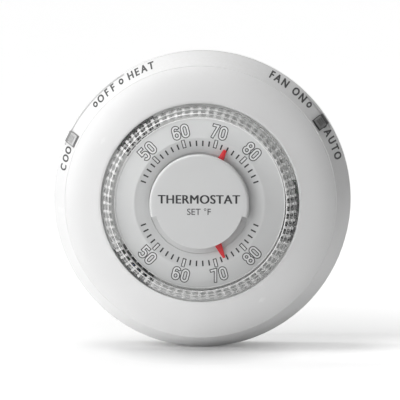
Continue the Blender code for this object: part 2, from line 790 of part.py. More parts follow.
def blade(name, root_radius, root_width, look):
    """A tapered pointer blade that points at the top of the dial."""
    outline = [
        (-root_width / 2, root_radius),
        (-POINTER_TIP_WIDTH / 2, POINTER_REACH),
        (POINTER_TIP_WIDTH / 2, POINTER_REACH),
        (root_width / 2, root_radius),
    ]
    return flat_piece(name, outline, POINTER_LEVEL, POINTER_FRONT_LEVEL, look)


set_pointer = blade("set_pointer", FOOT_RADIUS - FOOT_DEPTH / 2, POINTER_ROOT_WIDTH, POINTER_RED)
foot_back = WEB_FRONT_LEVEL + REST_GAP
foot_front = (POINTER_LEVEL + POINTER_FRONT_LEVEL) / 2
foot_size = (POINTER_ROOT_WIDTH * 0.8, FOOT_DEPTH, foot_front - foot_back)
set_foot = box("set_pointer_foot", foot_size, (0, FOOT_RADIUS, 0), POINTER_RED)
set_foot.parent = set_pointer
set_foot.location.z = (foot_back + foot_front) / 2 - set_pointer.location.z
fuse(set_pointer, set_foot)
turn_to(set_pointer, SET_ANGLE)

# ---------------------------------------------------------------- scale plate and centre cap
SCALE_RADIUS = RING_INNER_RADIUS - RUNNING_GAP
PIT_RADIUS = CAP_RADIUS + GAP
CREST_RADIUS = PIT_RADIUS + CREST_SHARE * (SCALE_RADIUS - PIT_RADIUS)
PIVOT_RADIUS = ARBOR_RADIUS + RUNNING_GAP
SPIGOT_RADIUS = TOWER_RADIUS - TOWER_WALL - RUNNING_GAP
SPIGOT_WALL = 1.2 * ACROSS
SPIGOT_FOOT_LEVEL = WEB_FRONT_LEVEL - 2.6 * DEEP
scale_plate = turned(
    "scale_plate",
    [
        (PIVOT_RADIUS, PIT_LEVEL),
        (PIT_RADIUS, PIT_LEVEL),
        (PIT_RADIUS, PLATE_LEVEL + CREST_RISE / 3),
        (CREST_RADIUS, PLATE_LEVEL + CREST_RISE),
        (SCALE_RADIUS, PLATE_LEVEL),
        (SCALE_RADIUS, PLATE_UNDERSIDE_LEVEL),
        (CREST_RADIUS, PLATE_UNDERSIDE_LEVEL + CREST_RISE / 2),
        (PIT_RADIUS, PLATE_UNDERSIDE_LEVEL),
        (SPIGOT_RADIUS, PLATE_UNDERSIDE_LEVEL),
        (SPIGOT_RADIUS, SPIGOT_FOOT_LEVEL),
        (SPIGOT_RADIUS - SPIGOT_WALL, SPIGOT_FOOT_LEVEL),
        (SPIGOT_RADIUS - SPIGOT_WALL, PLATE_UNDERSIDE_LEVEL),
        (PIVOT_RADIUS, PLATE_UNDERSIDE_LEVEL),
    ],
    SCALE_GREY,
    DIAL_FACETS,
)
FOOT_SLOT_HALF = FOOT_DEPTH / 2 + GAP
cut(
    scale_plate,
    sector(
        "foot_slot_cutter",
        FOOT_RADIUS - FOOT_SLOT_HALF,
        FOOT_RADIUS + FOOT_SLOT_HALF,
        -POINTER_SWEEP - 8,
        POINTER_SWEEP + 8,
        PLATE_UNDERSIDE_LEVEL - REST_GAP,
        PIT_LEVEL + REST_GAP,
    ),
)

CAP_UNDERSIDE_LEVEL = CAP_TOP_LEVEL - CAP_SKIN
centre_cap = turned(
    "centre_cap",
    [
        (0, CAP_TOP_LEVEL),
        (CAP_RADIUS - CAP_ROUND, CAP_TOP_LEVEL),
        (CAP_RADIUS - CAP_ROUND * 0.4, CAP_TOP_LEVEL - CAP_ROUND * 0.2),
        (CAP_RADIUS, CAP_TOP_LEVEL - CAP_ROUND),
        (CAP_RADIUS, CAP_WALL_FOOT_LEVEL),
        (CAP_RADIUS - CAP_WALL, CAP_WALL_FOOT_LEVEL),
        (CAP_RADIUS - CAP_WALL, CAP_UNDERSIDE_LEVEL),
        (0, CAP_UNDERSIDE_LEVEL),
    ],
    CAP_GREY,
    DIAL_FACETS,
    closed=False,
)
cut(
    centre_cap,
    sector(
        "cap_cutout_cutter",
        CUTOUT_RADIUS,
        CAP_RADIUS + CAP_WALL,
        180 - CUTOUT_HALF_ANGLE,
        180 + CUTOUT_HALF_ANGLE,
        CAP_WALL_FOOT_LEVEL - REST_GAP,
        CAP_TOP_LEVEL + REST_GAP,
    ),
)
CAP_FOOT_CIRCLE = 8.4 * ACROSS
for number, angle in enumerate((0, 82, -82), 1):
    foot_top = CAP_UNDERSIDE_LEVEL + CAP_SKIN / 2
    fuse(
        centre_cap,
        rod(
            f"cap_foot_{number}",
            1.1 * ACROSS,
            PIT_LEVEL + REST_GAP,
            foot_top,
            CAP_GREY,
            place=on_dial(CAP_FOOT_CIRCLE, angle),
        ),
    )

# ---------------------------------------------------------------- thermometer
room_pointer = blade("room_pointer", 0, 2 * POINTER_ROOT_WIDTH, POINTER_RED)
pointer_hub = rod(
    "pointer_hub",
    2.2 * ARBOR_RADIUS,
    POINTER_LEVEL - REST_GAP / 2,
    POINTER_FRONT_LEVEL,
    POINTER_RED,
)
pointer_hub.parent = room_pointer
pointer_hub.location.z -= room_pointer.location.z
fuse(room_pointer, pointer_hub)
turn_to(room_pointer, ROOM_ANGLE)

ARBOR_TOP_LEVEL = POINTER_LEVEL - 1.5 * REST_GAP
COLLAR_RADIUS = COIL_INNER_RADIUS - COIL_THICKNESS - GAP
turned(
    "pointer_arbor",
    [
        (0, ARBOR_TOP_LEVEL),
        (ARBOR_RADIUS, ARBOR_TOP_LEVEL),
        (ARBOR_RADIUS, COIL_BACK_LEVEL + COIL_WIDTH),
        (COLLAR_RADIUS, COIL_BACK_LEVEL + COIL_WIDTH),
        (COLLAR_RADIUS, COIL_BACK_LEVEL),
        (ARBOR_RADIUS, COIL_BACK_LEVEL),
        (ARBOR_RADIUS, FLOOR_FRONT_LEVEL + REST_GAP),
        (0, FLOOR_FRONT_LEVEL + REST_GAP),
    ],
    BRASS,
    SCREW_FACETS,
    closed=False,
)

COIL_POINTS_PER_TURN = 18
coil_mesh = bpy.data.meshes.new("bimetal_coil")
strip = bmesh.new()
count = COIL_TURNS * COIL_POINTS_PER_TURN
for i in range(count + 1):
    radius = COIL_INNER_RADIUS + (COIL_OUTER_RADIUS - COIL_INNER_RADIUS) * i / count
    x, y = on_dial(radius, 360 * i / COIL_POINTS_PER_TURN)
    strip.verts.new((x, y, COIL_BACK_LEVEL))
strip.verts.ensure_lookup_table()
for i in range(count):
    strip.edges.new((strip.verts[i], strip.verts[i + 1]))
swept = bmesh.ops.extrude_edge_only(strip, edges=strip.edges)
raised = [item for item in swept["geom"] if isinstance(item, bmesh.types.BMVert)]
bmesh.ops.translate(strip, verts=raised, vec=(0, 0, COIL_WIDTH))
strip.to_mesh(coil_mesh)
strip.free()
round_shading(coil_mesh)
bimetal_coil = add("bimetal_coil", coil_mesh, COPPER)
thicken = bimetal_coil.modifiers.new("thicken", "SOLIDIFY")
thicken.thickness = COIL_THICKNESS
thicken.offset = 0

# ---------------------------------------------------------------- selector levers
TAB_GAP = RUNNING_GAP * 0.85
TAB_FOOT_LEVEL = LEVER_FRONT_LEVEL + SLOT_MARGIN
TAB_BEND_LEVEL = TAB_FOOT_LEVEL + 2 * SLOT_MARGIN
CONTACT_WIDTH = 2.0 * ACROSS
CONTACT_REACH = BOARD_RADIUS - 2.4 * ACROSS
CONTACT_FRONT_LEVEL = LEVER_BACK_LEVEL - REST_GAP


def selector(word, rest, travel, look):
    """A lever whose tab comes out of the rim's slot and lies on the bevel, and the contact under it."""
    tab_outer = bevel_radius(TAB_TOP_LEVEL) + TAB_GAP + TAB_THICKNESS
    lever = turned(
        f"{word}_lever",
        [
            (bevel_radius(TAB_TOP_LEVEL) + TAB_GAP, TAB_TOP_LEVEL),
            (tab_outer, TAB_TOP_LEVEL),
            (CASE_RADIUS, TAB_BEND_LEVEL),
            (CASE_RADIUS, LEVER_BACK_LEVEL),
            (LEVER_ROOT_RADIUS, LEVER_BACK_LEVEL),
            (LEVER_ROOT_RADIUS, LEVER_FRONT_LEVEL),
            (bevel_radius(TAB_FOOT_LEVEL), LEVER_FRONT_LEVEL),
            (bevel_radius(TAB_FOOT_LEVEL) + TAB_GAP, TAB_FOOT_LEVEL),
        ],
        look,
        CASE_FACETS,
    )
    slice_of(lever, TAB_WIDTH, CASE_DIAMETER)
    half = abs(travel) + SLOT_END_ALLOWANCE
    shutter = sector(
        f"{word}_shutter",
        SHUTTER_RADIUS,
        SHUTTER_RADIUS + SHUTTER_THICKNESS,
        -half,
        half,
        SLOT_BACK_LEVEL - SLOT_MARGIN,
        SLOT_FRONT_LEVEL + SLOT_MARGIN,
    )
    shutter.parent = lever
    bpy.data.objects[f"{word}_lever_strip"].parent = lever
    fuse(lever, shutter)
    turn_to(lever, rest)
    contact = turned(
        f"{word}_contact",
        [
            (LEVER_ROOT_RADIUS - STRIP, CONTACT_FRONT_LEVEL),
            (LEVER_ROOT_RADIUS + 6 * STRIP, CONTACT_FRONT_LEVEL),
            (LEVER_ROOT_RADIUS + 6 * STRIP, CONTACT_FRONT_LEVEL - STRIP),
            (LEVER_ROOT_RADIUS, CONTACT_FRONT_LEVEL - STRIP),
            (CONTACT_REACH + 2 * STRIP, PART_LEVEL),
            (CONTACT_REACH - 2 * STRIP, PART_LEVEL),
            (CONTACT_REACH - 2 * STRIP, PART_LEVEL + STRIP),
            (CONTACT_REACH + STRIP, PART_LEVEL + STRIP),
        ],
        COPPER,
        CASE_FACETS,
    )
    slice_of(contact, CONTACT_WIDTH, CASE_DIAMETER)
    bpy.data.objects[f"{word}_contact_strip"].parent = contact
    turn_to(contact, rest)


selector("system", SYSTEM_REST_ANGLE, SYSTEM_TRAVEL, LEVER_WHITE)
selector("fan", FAN_REST_ANGLE, FAN_TRAVEL, LEVER_GREY)
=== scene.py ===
import math

import bmesh
import bpy
from mathutils import Matrix, Vector


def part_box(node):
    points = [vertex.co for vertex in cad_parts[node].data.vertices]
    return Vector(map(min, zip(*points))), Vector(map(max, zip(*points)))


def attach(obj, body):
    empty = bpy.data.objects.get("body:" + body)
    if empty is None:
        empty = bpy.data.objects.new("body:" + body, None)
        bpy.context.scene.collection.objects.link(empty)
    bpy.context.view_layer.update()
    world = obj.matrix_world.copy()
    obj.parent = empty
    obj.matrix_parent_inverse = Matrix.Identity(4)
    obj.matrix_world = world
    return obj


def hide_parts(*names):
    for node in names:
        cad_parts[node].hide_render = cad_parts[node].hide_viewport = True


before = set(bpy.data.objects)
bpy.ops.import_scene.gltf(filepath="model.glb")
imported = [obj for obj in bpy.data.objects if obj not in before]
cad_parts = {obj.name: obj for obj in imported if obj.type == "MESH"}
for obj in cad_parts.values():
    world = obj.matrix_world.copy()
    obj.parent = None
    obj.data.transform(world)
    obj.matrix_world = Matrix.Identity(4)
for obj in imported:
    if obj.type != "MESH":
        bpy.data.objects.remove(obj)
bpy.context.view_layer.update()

# ---------------------------------------------------------------- sizes read from the frame
MM = 0.001


def across(node):
    """The outer radius of a round piece of the frame."""
    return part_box(node)[1][0]


def depth_span(node):
    """(back, front) of a piece of the frame, measured from the wall out into the room."""
    low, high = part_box(node)
    return -high[1], -low[1]


CASE_RADIUS = across("front_cover")
RING_RADIUS = across("clear_dial")
RING_FOOT = depth_span("clear_dial")[0]
SCALE_RADIUS = across("scale_plate")
CAP_RADIUS = across("centre_cap")
CAP_TOP = depth_span("centre_cap")[1]
COVER_FOOT, LIP_LEVEL = depth_span("front_cover")
PLATE_RADIUS = across("wall_plate")
BOARD_RADIUS = across("circuit_board")
BOARD_BACK, BOARD_FRONT = depth_span("circuit_board")

CREASE_RADIUS = 41.1 * MM
CREASE_LEVEL = 26.8 * MM
BEVEL_FOOT = 17.0 * MM
CASE_WALL = 1.6 * MM
DOME_ROLL = 0.48
DOME_ROLL_POWER = 3
RING_WIDTH = 3.5 * MM
RING_INNER = RING_RADIUS - RING_WIDTH
WELL_RADIUS = RING_RADIUS + 0.4 * MM
LIP_RADIUS = WELL_RADIUS + 0.6 * MM
PIT_RADIUS = CAP_RADIUS + 0.3 * MM
PIT_LEVEL = 32.4 * MM
CREST_RADIUS = PIT_RADIUS + 0.42 * (SCALE_RADIUS - PIT_RADIUS)
CREST_LEVEL = 33.72 * MM
SCALE_STEP_LEVEL = 32.7 * MM
SCALE_EDGE_LEVEL = 32.1 * MM
POINTER_LEVEL = 34.0 * MM
SYSTEM_ANGLE = -64.6
FAN_ANGLE = 56.5
SET_ANGLE = 25.5
ROOM_ANGLE = 180 - 24.5

# ---------------------------------------------------------------- node groups shared by the materials


def new_group(name, inputs, outputs):
    tree = bpy.data.node_groups.new(name, "ShaderNodeTree")
    for socket, value in inputs:
        made = tree.interface.new_socket(socket, in_out="INPUT", socket_type="NodeSocketFloat")
        made.default_value = value
    for socket in outputs:
        tree.interface.new_socket(socket, in_out="OUTPUT", socket_type="NodeSocketFloat")
    return tree, tree.nodes.new("NodeGroupInput"), tree.nodes.new("NodeGroupOutput")


def add_node(tree, kind, settings=(), **values):
    """A node with its settings, and its inputs set to values or joined to the sockets given for them."""
    made = tree.nodes.new(kind)
    for key, value in dict(settings).items():
        setattr(made, key, value)
    for key, value in values.items():
        by_number = key[0] == "i" and key[1:].isdigit()
        socket = made.inputs[int(key[1:]) if by_number else key.replace("_", " ")]
        if isinstance(value, bpy.types.NodeSocket):
            tree.links.new(value, socket)
        else:
            socket.default_value = value
    return made


def maths(tree, operation, first, second=0.0, clamp=False):
    made = tree.nodes.new("ShaderNodeMath")
    made.operation = operation
    made.use_clamp = clamp
    for socket, value in zip(made.inputs, (first, second)):
        if isinstance(value, bpy.types.NodeSocket):
            tree.links.new(value, socket)
        else:
            socket.default_value = value
    return made.outputs[0]


def remap(tree, value, low, high, to_low=0.0, to_high=1.0):
    made = tree.nodes.new("ShaderNodeMapRange")
    tree.links.new(value, made.inputs["Value"])
    made.inputs["From Min"].default_value = low
    made.inputs["From Max"].default_value = high
    made.inputs["To Min"].default_value = to_low
    made.inputs["To Max"].default_value = to_high
    return made.outputs["Result"]


def build_moulded_group():
    """Spark-eroded grain, slow moulding flow and rubbed patches, for every moulded plastic."""
    tree, source, result = new_group(
        "moulded_skin", (("Grain Scale", 2600.0), ("Flow Scale", 28.0)), ("Height", "Shade", "Sheen")
    )
    place = tree.nodes.new("ShaderNodeTexCoord").outputs["Object"]
    fine, slow = source.outputs["Grain Scale"], source.outputs["Flow Scale"]
    grain = add_node(tree, "ShaderNodeTexNoise", Vector=place, Scale=fine, Detail=3.0)
    pits = add_node(tree, "ShaderNodeTexVoronoi", Vector=place, Scale=maths(tree, "MULTIPLY", fine, 0.55))
    flow = add_node(tree, "ShaderNodeTexNoise", Vector=place, Scale=slow, Detail=4.0, Distortion=0.6)
    patch = maths(tree, "MULTIPLY", slow, 4.0)
    rubbed = add_node(tree, "ShaderNodeTexNoise", Vector=place, Scale=patch, Detail=6.0, Roughness=0.7)
    height = maths(tree, "ADD", grain.outputs["Fac"], maths(tree, "MULTIPLY", pits.outputs["Distance"], 0.5))
    tree.links.new(height, result.inputs["Height"])
    tree.links.new(remap(tree, flow.outputs["Fac"], 0.3, 0.7), result.inputs["Shade"])
    tree.links.new(remap(tree, rubbed.outputs["Fac"], 0.35, 0.7), result.inputs["Sheen"])
    return tree


def build_edge_group():
    """Where a piece's outer edges are rubbed, and where its hollow corners turn darker, in patches."""
    tree, source, result = new_group("edge_marks", (("Break Up", 300.0),), ("Worn", "Darker Hollows"))
    point = tree.nodes.new("ShaderNodeNewGeometry").outputs["Pointiness"]
    place = tree.nodes.new("ShaderNodeTexCoord").outputs["Object"]
    broken = add_node(tree, "ShaderNodeTexNoise", Vector=place, Scale=source.outputs["Break Up"], Detail=5.0)
    patchy = remap(tree, broken.outputs["Fac"], 0.35, 0.6)
    tree.links.new(maths(tree, "MULTIPLY", remap(tree, point, 0.52, 0.60), patchy), result.inputs["Worn"])
    tree.links.new(maths(tree, "MULTIPLY", remap(tree, point, 0.48, 0.40), patchy), result.inputs["Darker Hollows"])
    return tree


def build_dust_group():
    """A thin film of dust on faces that look upwards."""
    tree, source, result = new_group("settled_dust", (("Amount", 0.3),), ("Film",))
    normal = tree.nodes.new("ShaderNodeNewGeometry").outputs["Normal"]
    up = add_node(tree, "ShaderNodeSeparateXYZ", Vector=normal).outputs["Z"]
    place = tree.nodes.new("ShaderNodeTexCoord").outputs["Object"]
    specks = add_node(tree, "ShaderNodeTexNoise", Vector=place, Scale=900.0, Detail=6.0, Roughness=0.75)
    film = maths(tree, "MULTIPLY", remap(tree, up, 0.25, 0.95), remap(tree, specks.outputs["Fac"], 0.4, 0.75))
    tree.links.new(maths(tree, "MULTIPLY", film, source.outputs["Amount"]), result.inputs["Film"])
    return tree


def build_metal_group():
    """Fine drawing lines and tarnish for small metal pieces."""
    tree, source, result = new_group("drawn_metal", (("Line Scale", 5000.0),), ("Height", "Tarnish"))
    place = tree.nodes.new("ShaderNodeTexCoord").outputs["Object"]
    stretched = add_node(tree, "ShaderNodeMapping", Vector=place, Scale=(1.0, 0.05, 1.0)).outputs["Vector"]
    fine = source.outputs["Line Scale"]
    lines = add_node(tree, "ShaderNodeTexNoise", Vector=stretched, Scale=fine, Detail=2.0)
    clouds = add_node(tree, "ShaderNodeTexNoise", Vector=place, Scale=420.0, Detail=5.0)
    tree.links.new(lines.outputs["Fac"], result.inputs["Height"])
    tree.links.new(remap(tree, clouds.outputs["Fac"], 0.4, 0.7), result.inputs["Tarnish"])
    return tree


MOULDED = build_moulded_group()
EDGES = build_edge_group()
DUST = build_dust_group()
DRAWN = build_metal_group()


def use_group(tree, group, **values):
    made = add_node(tree, "ShaderNodeGroup", {"node_tree": group})
    for key, value in values.items():
        made.inputs[key.replace("_", " ")].default_value = value
    return made


def blend_colour(tree, amount, first, second):
    """Mixes two colours, each a socket or a (red, green, blue), by a socket that varies over the surface."""
    mixer = tree.nodes.new("ShaderNodeMix")
    mixer.data_type = "RGBA"
    tree.links.new(amount, mixer.inputs["Factor"])
    for key, value in (("A", first), ("B", second)):
        socket = [item for item in mixer.inputs if item.identifier == f"{key}_Color"][0]
        if isinstance(value, bpy.types.NodeSocket):
            tree.links.new(value, socket)
        else:
            socket.default_value = (*value, 1.0)
    return [item for item in mixer.outputs if item.identifier == "Result_Color"][0]


def bump(tree, height, strength, distance):
    made = add_node(tree, "ShaderNodeBump", Height=height, Strength=strength, Distance=distance)
    return made.outputs["Normal"]


def start_material(name):
    made = bpy.data.materials.new(name)
    made.use_nodes = True
    tree = made.node_tree
    return made, tree, tree.nodes["Principled BSDF"]


def scaled(colour, factor):
    return tuple(min(1.0, channel * factor) for channel in colour)


def moulded_plastic(name, colour, roughness, grain=0.25, dust=0.25, coat=0.0):
    """A moulded plastic with flow shading, rubbed sheen, worn edges and settled dust."""
    made, tree, shader = start_material(name)
    skin = use_group(tree, MOULDED)
    marks = use_group(tree, EDGES)
    dusty = use_group(tree, DUST, Amount=dust)
    tone = blend_colour(tree, skin.outputs["Shade"], scaled(colour, 0.97), scaled(colour, 1.02))
    # Darker in hollow corners, in patches.
    tone = blend_colour(tree, marks.outputs["Darker Hollows"], tone, scaled(colour, 0.8))
    tone = blend_colour(tree, marks.outputs["Worn"], tone, scaled(colour, 1.06))
    tone = blend_colour(tree, dusty.outputs["Film"], tone, (0.62, 0.60, 0.57))
    tree.links.new(tone, shader.inputs["Base Color"])
    sheen = remap(tree, skin.outputs["Sheen"], 0.0, 1.0, roughness - 0.05, roughness + 0.06)
    tree.links.new(sheen, shader.inputs["Roughness"])
    shader.inputs["IOR"].default_value = 1.5
    shader.inputs["Coat Weight"].default_value = coat
    tree.links.new(bump(tree, skin.outputs["Height"], grain, 0.00002), shader.inputs["Normal"])
    return made


def worked_metal(name, colour, roughness, tarnish, line_scale=5000.0):
    """A drawn or turned metal with tarnish and brighter edges."""
    made, tree, shader = start_material(name)
    drawn = use_group(tree, DRAWN, Line_Scale=line_scale)
    marks = use_group(tree, EDGES)
    tone = blend_colour(tree, drawn.outputs["Tarnish"], colour, tarnish)
    tone = blend_colour(tree, marks.outputs["Worn"], tone, scaled(colour, 1.25))
    tree.links.new(tone, shader.inputs["Base Color"])
    shader.inputs["Metallic"].default_value = 1.0
    spread = remap(tree, drawn.outputs["Tarnish"], 0.0, 1.0, roughness, roughness + 0.15)
    tree.links.new(spread, shader.inputs["Roughness"])
    tree.links.new(bump(tree, drawn.outputs["Height"], 0.3, 0.00001), shader.inputs["Normal"])
    return made


def printed_ink(name, colour):
    """Pad-printed ink with a slightly uneven film."""
    made, tree, shader = start_material(name)
    place = tree.nodes.new("ShaderNodeTexCoord").outputs["Object"]
    film = add_node(tree, "ShaderNodeTexNoise", Vector=place, Scale=2400.0, Detail=5.0)
    tone = blend_colour(tree, film.outputs["Fac"], scaled(colour, 0.85), scaled(colour, 1.2))
    tree.links.new(tone, shader.inputs["Base Color"])
    spread = remap(tree, film.outputs["Fac"], 0.3, 0.7, 0.45, 0.6)
    tree.links.new(spread, shader.inputs["Roughness"])
    tree.links.new(bump(tree, film.outputs["Fac"], 0.15, 0.00001), shader.inputs["Normal"])
    return made


def let_lamps_through(tree, shader, tint):
    """Lets the lamps reach what lies behind a see-through piece."""
    open_to_lamps = tree.nodes.new("ShaderNodeBsdfTransparent")
    open_to_lamps.inputs["Color"].default_value = (*tint, 1.0)
    chooser = tree.nodes.new("ShaderNodeMixShader")
    path = tree.nodes.new("ShaderNodeLightPath")
    tree.links.new(path.outputs["Is Shadow Ray"], chooser.inputs["Fac"])
    tree.links.new(shader.outputs["BSDF"], chooser.inputs[1])
    tree.links.new(open_to_lamps.outputs["BSDF"], chooser.inputs[2])
    output = [item for item in tree.nodes if item.type == "OUTPUT_MATERIAL"][0]
    tree.links.new(chooser.outputs["Shader"], output.inputs["Surface"])


def clear_plastic(name, tint, bend_index, gloss):
    """Clear acrylic that lets the lamps through to what lies under it."""
    made, tree, shader = start_material(name)
    shader.inputs["Transmission Weight"].default_value = 1.0
    shader.inputs["IOR"].default_value = bend_index
    shader.inputs["Coat Weight"].default_value = gloss
    shader.inputs["Coat IOR"].default_value = 1.5
    shader.inputs["Coat Roughness"].default_value = 0.04
    place = tree.nodes.new("ShaderNodeTexCoord").outputs["Object"]
    smears = add_node(tree, "ShaderNodeTexNoise", Vector=place, Scale=180.0, Detail=5.0, Distortion=0.8)
    tone = blend_colour(tree, smears.outputs["Fac"], scaled(tint, 0.97), scaled(tint, 1.01))
    tree.links.new(tone, shader.inputs["Base Color"])
    spread = remap(tree, smears.outputs["Fac"], 0.35, 0.75, 0.0, 0.03)
    tree.links.new(spread, shader.inputs["Roughness"])
    ripple = add_node(tree, "ShaderNodeTexNoise", Vector=place, Scale=700.0, Detail=2.0)
    tree.links.new(bump(tree, ripple.outputs["Fac"], 0.12, 0.00005), shader.inputs["Normal"])
    let_lamps_through(tree, shader, (0.95, 0.96, 0.96))
    return made


COVER_WHITE = moulded_plastic("cover_white", (0.80, 0.80, 0.80), 0.38, grain=0.22)
HOUSING_WHITE = moulded_plastic("housing_white", (0.77, 0.77, 0.76), 0.44, grain=0.4, dust=0.35)
PLATE_WHITE = moulded_plastic("wall_plate_white", (0.74, 0.74, 0.73), 0.46, grain=0.4)
SCALE_GREY = moulded_plastic("scale_grey", (0.66, 0.665, 0.665), 0.36, grain=0.15, dust=0.0)
CAP_GREY = moulded_plastic("cap_grey", (0.67, 0.675, 0.675), 0.34, grain=0.12, dust=0.1)
CLEAR = clear_plastic("clear_acrylic", (0.93, 0.93, 0.925), 1.16, 0.6)
# Frosted acrylic, lighter than the clear ring: partly its matt finish, partly painted highlight.
FROSTED_HIGHLIGHT = moulded_plastic("frosted_acrylic_highlight", (0.66, 0.66, 0.655), 0.22, grain=0.35, dust=0.0, coat=0.5)
let_lamps_through(FROSTED_HIGHLIGHT.node_tree, FROSTED_HIGHLIGHT.node_tree.nodes["Principled BSDF"], (0.8, 0.8, 0.8))
POINTER_RED = moulded_plastic("pointer_red", (0.70, 0.03, 0.04), 0.32, grain=0.1, dust=0.0)
LEVER_WHITE = moulded_plastic("lever_white", (0.5, 0.5, 0.5), 0.3, grain=0.2, coat=0.4)
LEVER_GREY = moulded_plastic("lever_grey", (0.21, 0.21, 0.21), 0.42, grain=0.3)
# Painted shadow: the dark grey of the piece under the system lever's grip.
SHADOW_OUTLINE_GREY = moulded_plastic("shadow_outline_grey", (0.22, 0.22, 0.22), 0.8, grain=1.0)
SLEEVE_WHITE = moulded_plastic("sleeve_white", (0.75, 0.75, 0.74), 0.42, grain=0.3)
BLACK = moulded_plastic("black_plastic", (0.025, 0.025, 0.026), 0.45, grain=0.4)
INK = printed_ink("scale_ink", (0.035, 0.035, 0.037))
RIM_INK = printed_ink("rim_ink", (0.055, 0.055, 0.055))
WHITE_INK = printed_ink("white_ink", (0.74, 0.74, 0.74))
STEEL = worked_metal("plated_steel", (0.62, 0.62, 0.64), 0.28, (0.40, 0.39, 0.37))
BRASS = worked_metal("brass", (0.78, 0.60, 0.30), 0.26, (0.52, 0.36, 0.16))
COPPER = worked_metal("contact_copper", (0.80, 0.52, 0.33), 0.28, (0.50, 0.28, 0.16))
BIMETAL = worked_metal("bimetal_strip", (0.66, 0.52, 0.40), 0.32, (0.42, 0.33, 0.26), line_scale=3000.0)

# ---------------------------------------------------------------- mesh helpers
CREASE_ANGLE = math.radians(25)


def face_point(radius, angle, level):
    """A point in front of the wall, from its radius, its angle clockwise from the top and its level."""
    turn = math.radians(angle)
    return Vector((radius * math.sin(turn), -level, radius * math.cos(turn)))


def to_room(x, y, level):
    """A point from its place to the right and up, seen from the front, and its level."""
    return Vector((x, -level, y))


def add_object(name, mesh, look):
    piece = bpy.data.objects.new(name, mesh)
    bpy.context.scene.collection.objects.link(piece)
    mesh.materials.clear()
    mesh.materials.append(look)
    return piece


def smooth(mesh, angle=32):
    mesh.shade_smooth()
    mesh.set_sharp_from_angle(angle=math.radians(angle))


def finish_mesh(name, shape, look, angle=32):
    """Turns a bmesh into a piece whose faces point out."""
    bmesh.ops.remove_doubles(shape, verts=shape.verts, dist=1e-7)
    bmesh.ops.recalc_face_normals(shape, faces=shape.faces)
    mesh = bpy.data.meshes.new(name)
    shape.to_mesh(mesh)
    shape.free()
    smooth(mesh, angle)
    return add_object(name, mesh, look)


def filleted(profile, steps=4):
    """Rounds the corners of a closed (radius, level, fillet) profile."""
    result = []
    count = len(profile)
    for i, (radius, level, fillet) in enumerate(profile):
        corner = Vector((radius, level))
        before = Vector(profile[i - 1][:2]) - corner
        after = Vector(profile[(i + 1) % count][:2]) - corner
        reach = min(fillet, before.length * 0.45, after.length * 0.45)
        if reach < 1e-6:
            result.append(tuple(corner))
            continue
        start = corner + before.normalized() * reach
        end = corner + after.normalized() * reach
        for step in range(steps + 1):
            t = step / steps
            point = start * (1 - t) ** 2 + corner * 2 * t * (1 - t) + end * t * t
            result.append(tuple(point))
    return result


def lathe(name, profile, look, segments=192, keep=False):
    """A body of revolution about the dial's axis, from a closed (radius, level) profile."""
    shape = bmesh.new()
    rings = []
    for i in range(segments):
        turn = 360 * i / segments
        rings.append([shape.verts.new(face_point(radius, turn, level)) for radius, level in profile])
    count = len(profile)
    for i in range(segments):
        one, two = rings[i], rings[(i + 1) % segments]
        for j in range(count):
            k = (j + 1) % count
            shape.faces.new((one[j], one[k], two[k], two[j]))
    if keep:
        return shape
    return finish_mesh(name, shape, look)


def sector_outline(inner, outer, start, end, step=2.5):
    count = max(2, round(abs(end - start) / step))
    angles = [start + (end - start) * i / count for i in range(count + 1)]
    turns = [math.radians(angle) for angle in angles]
    points = [(outer * math.sin(t), outer * math.cos(t)) for t in turns]
    points += [(inner * math.sin(t), inner * math.cos(t)) for t in reversed(turns)]
    return points


def pushed(name, corners, way, look, bevel=0.0, segments=3):
    """A flat face pushed along a way into a solid, with its edges rounded."""
    shape = bmesh.new()
    face = shape.faces.new([shape.verts.new(corner) for corner in corners])
    grown = bmesh.ops.extrude_face_region(shape, geom=[face])
    moved = [item for item in grown["geom"] if isinstance(item, bmesh.types.BMVert)]
    bmesh.ops.translate(shape, verts=moved, vec=way)
    bmesh.ops.recalc_face_normals(shape, faces=shape.faces)
    if bevel:
        sharp = [edge for edge in shape.edges if edge.calc_face_angle(0) > CREASE_ANGLE]
        bmesh.ops.bevel(shape, geom=sharp, offset=bevel, segments=segments, profile=0.5, affect="EDGES")
    return finish_mesh(name, shape, look)


def slab(name, outline, back, front, look, bevel=0.0):
    """A flat outline seen from the front, made solid between two levels."""
    corners = [to_room(x, y, back) for x, y in outline]
    return pushed(name, corners, (0, back - front, 0), look, bevel)


def prism(name, line, width, look, bevel, segments):
    """A side view, given as (radius, level) points, made solid across the top of the dial."""
    corners = [(-width / 2, -level, radius) for radius, level in line]
    return pushed(name, corners, (width, 0, 0), look, bevel, segments)


def turned(piece, angle):
    """Turns a piece clockwise about the dial's axis, in its mesh."""
    piece.data.transform(Matrix.Rotation(math.radians(angle), 4, "Y"))
    return piece


def block(name, low, high, look, bevel=0.0, segments=3):
    """A box from corner to corner with rounded edges."""
    shape = bmesh.new()
    size = [h - l for l, h in zip(low, high)]
    middle = [(h + l) / 2 for l, h in zip(low, high)]
    bmesh.ops.create_cube(shape, size=1, matrix=Matrix.Translation(middle) @ Matrix.Diagonal((*size, 1)))
    if bevel:
        edges = shape.edges[:]
        bmesh.ops.bevel(shape, geom=edges, offset=bevel, segments=segments, profile=0.5, affect="EDGES")
    return finish_mesh(name, shape, look)


def boolean(piece, tools, operation="DIFFERENCE"):
    """Cuts, joins or keeps parts of a piece by other pieces, which are used up."""
    for tool in tools:
        step = piece.modifiers.new("step", "BOOLEAN")
        step.operation = operation
        step.object = tool
    bpy.context.view_layer.update()
    graph = bpy.context.evaluated_depsgraph_get()
    mesh = bpy.data.meshes.new_from_object(piece.evaluated_get(graph))
    piece.modifiers.clear()
    piece.data = mesh
    for tool in tools:
        bpy.data.objects.remove(tool, do_unlink=True)
    smooth(mesh)
    return piece


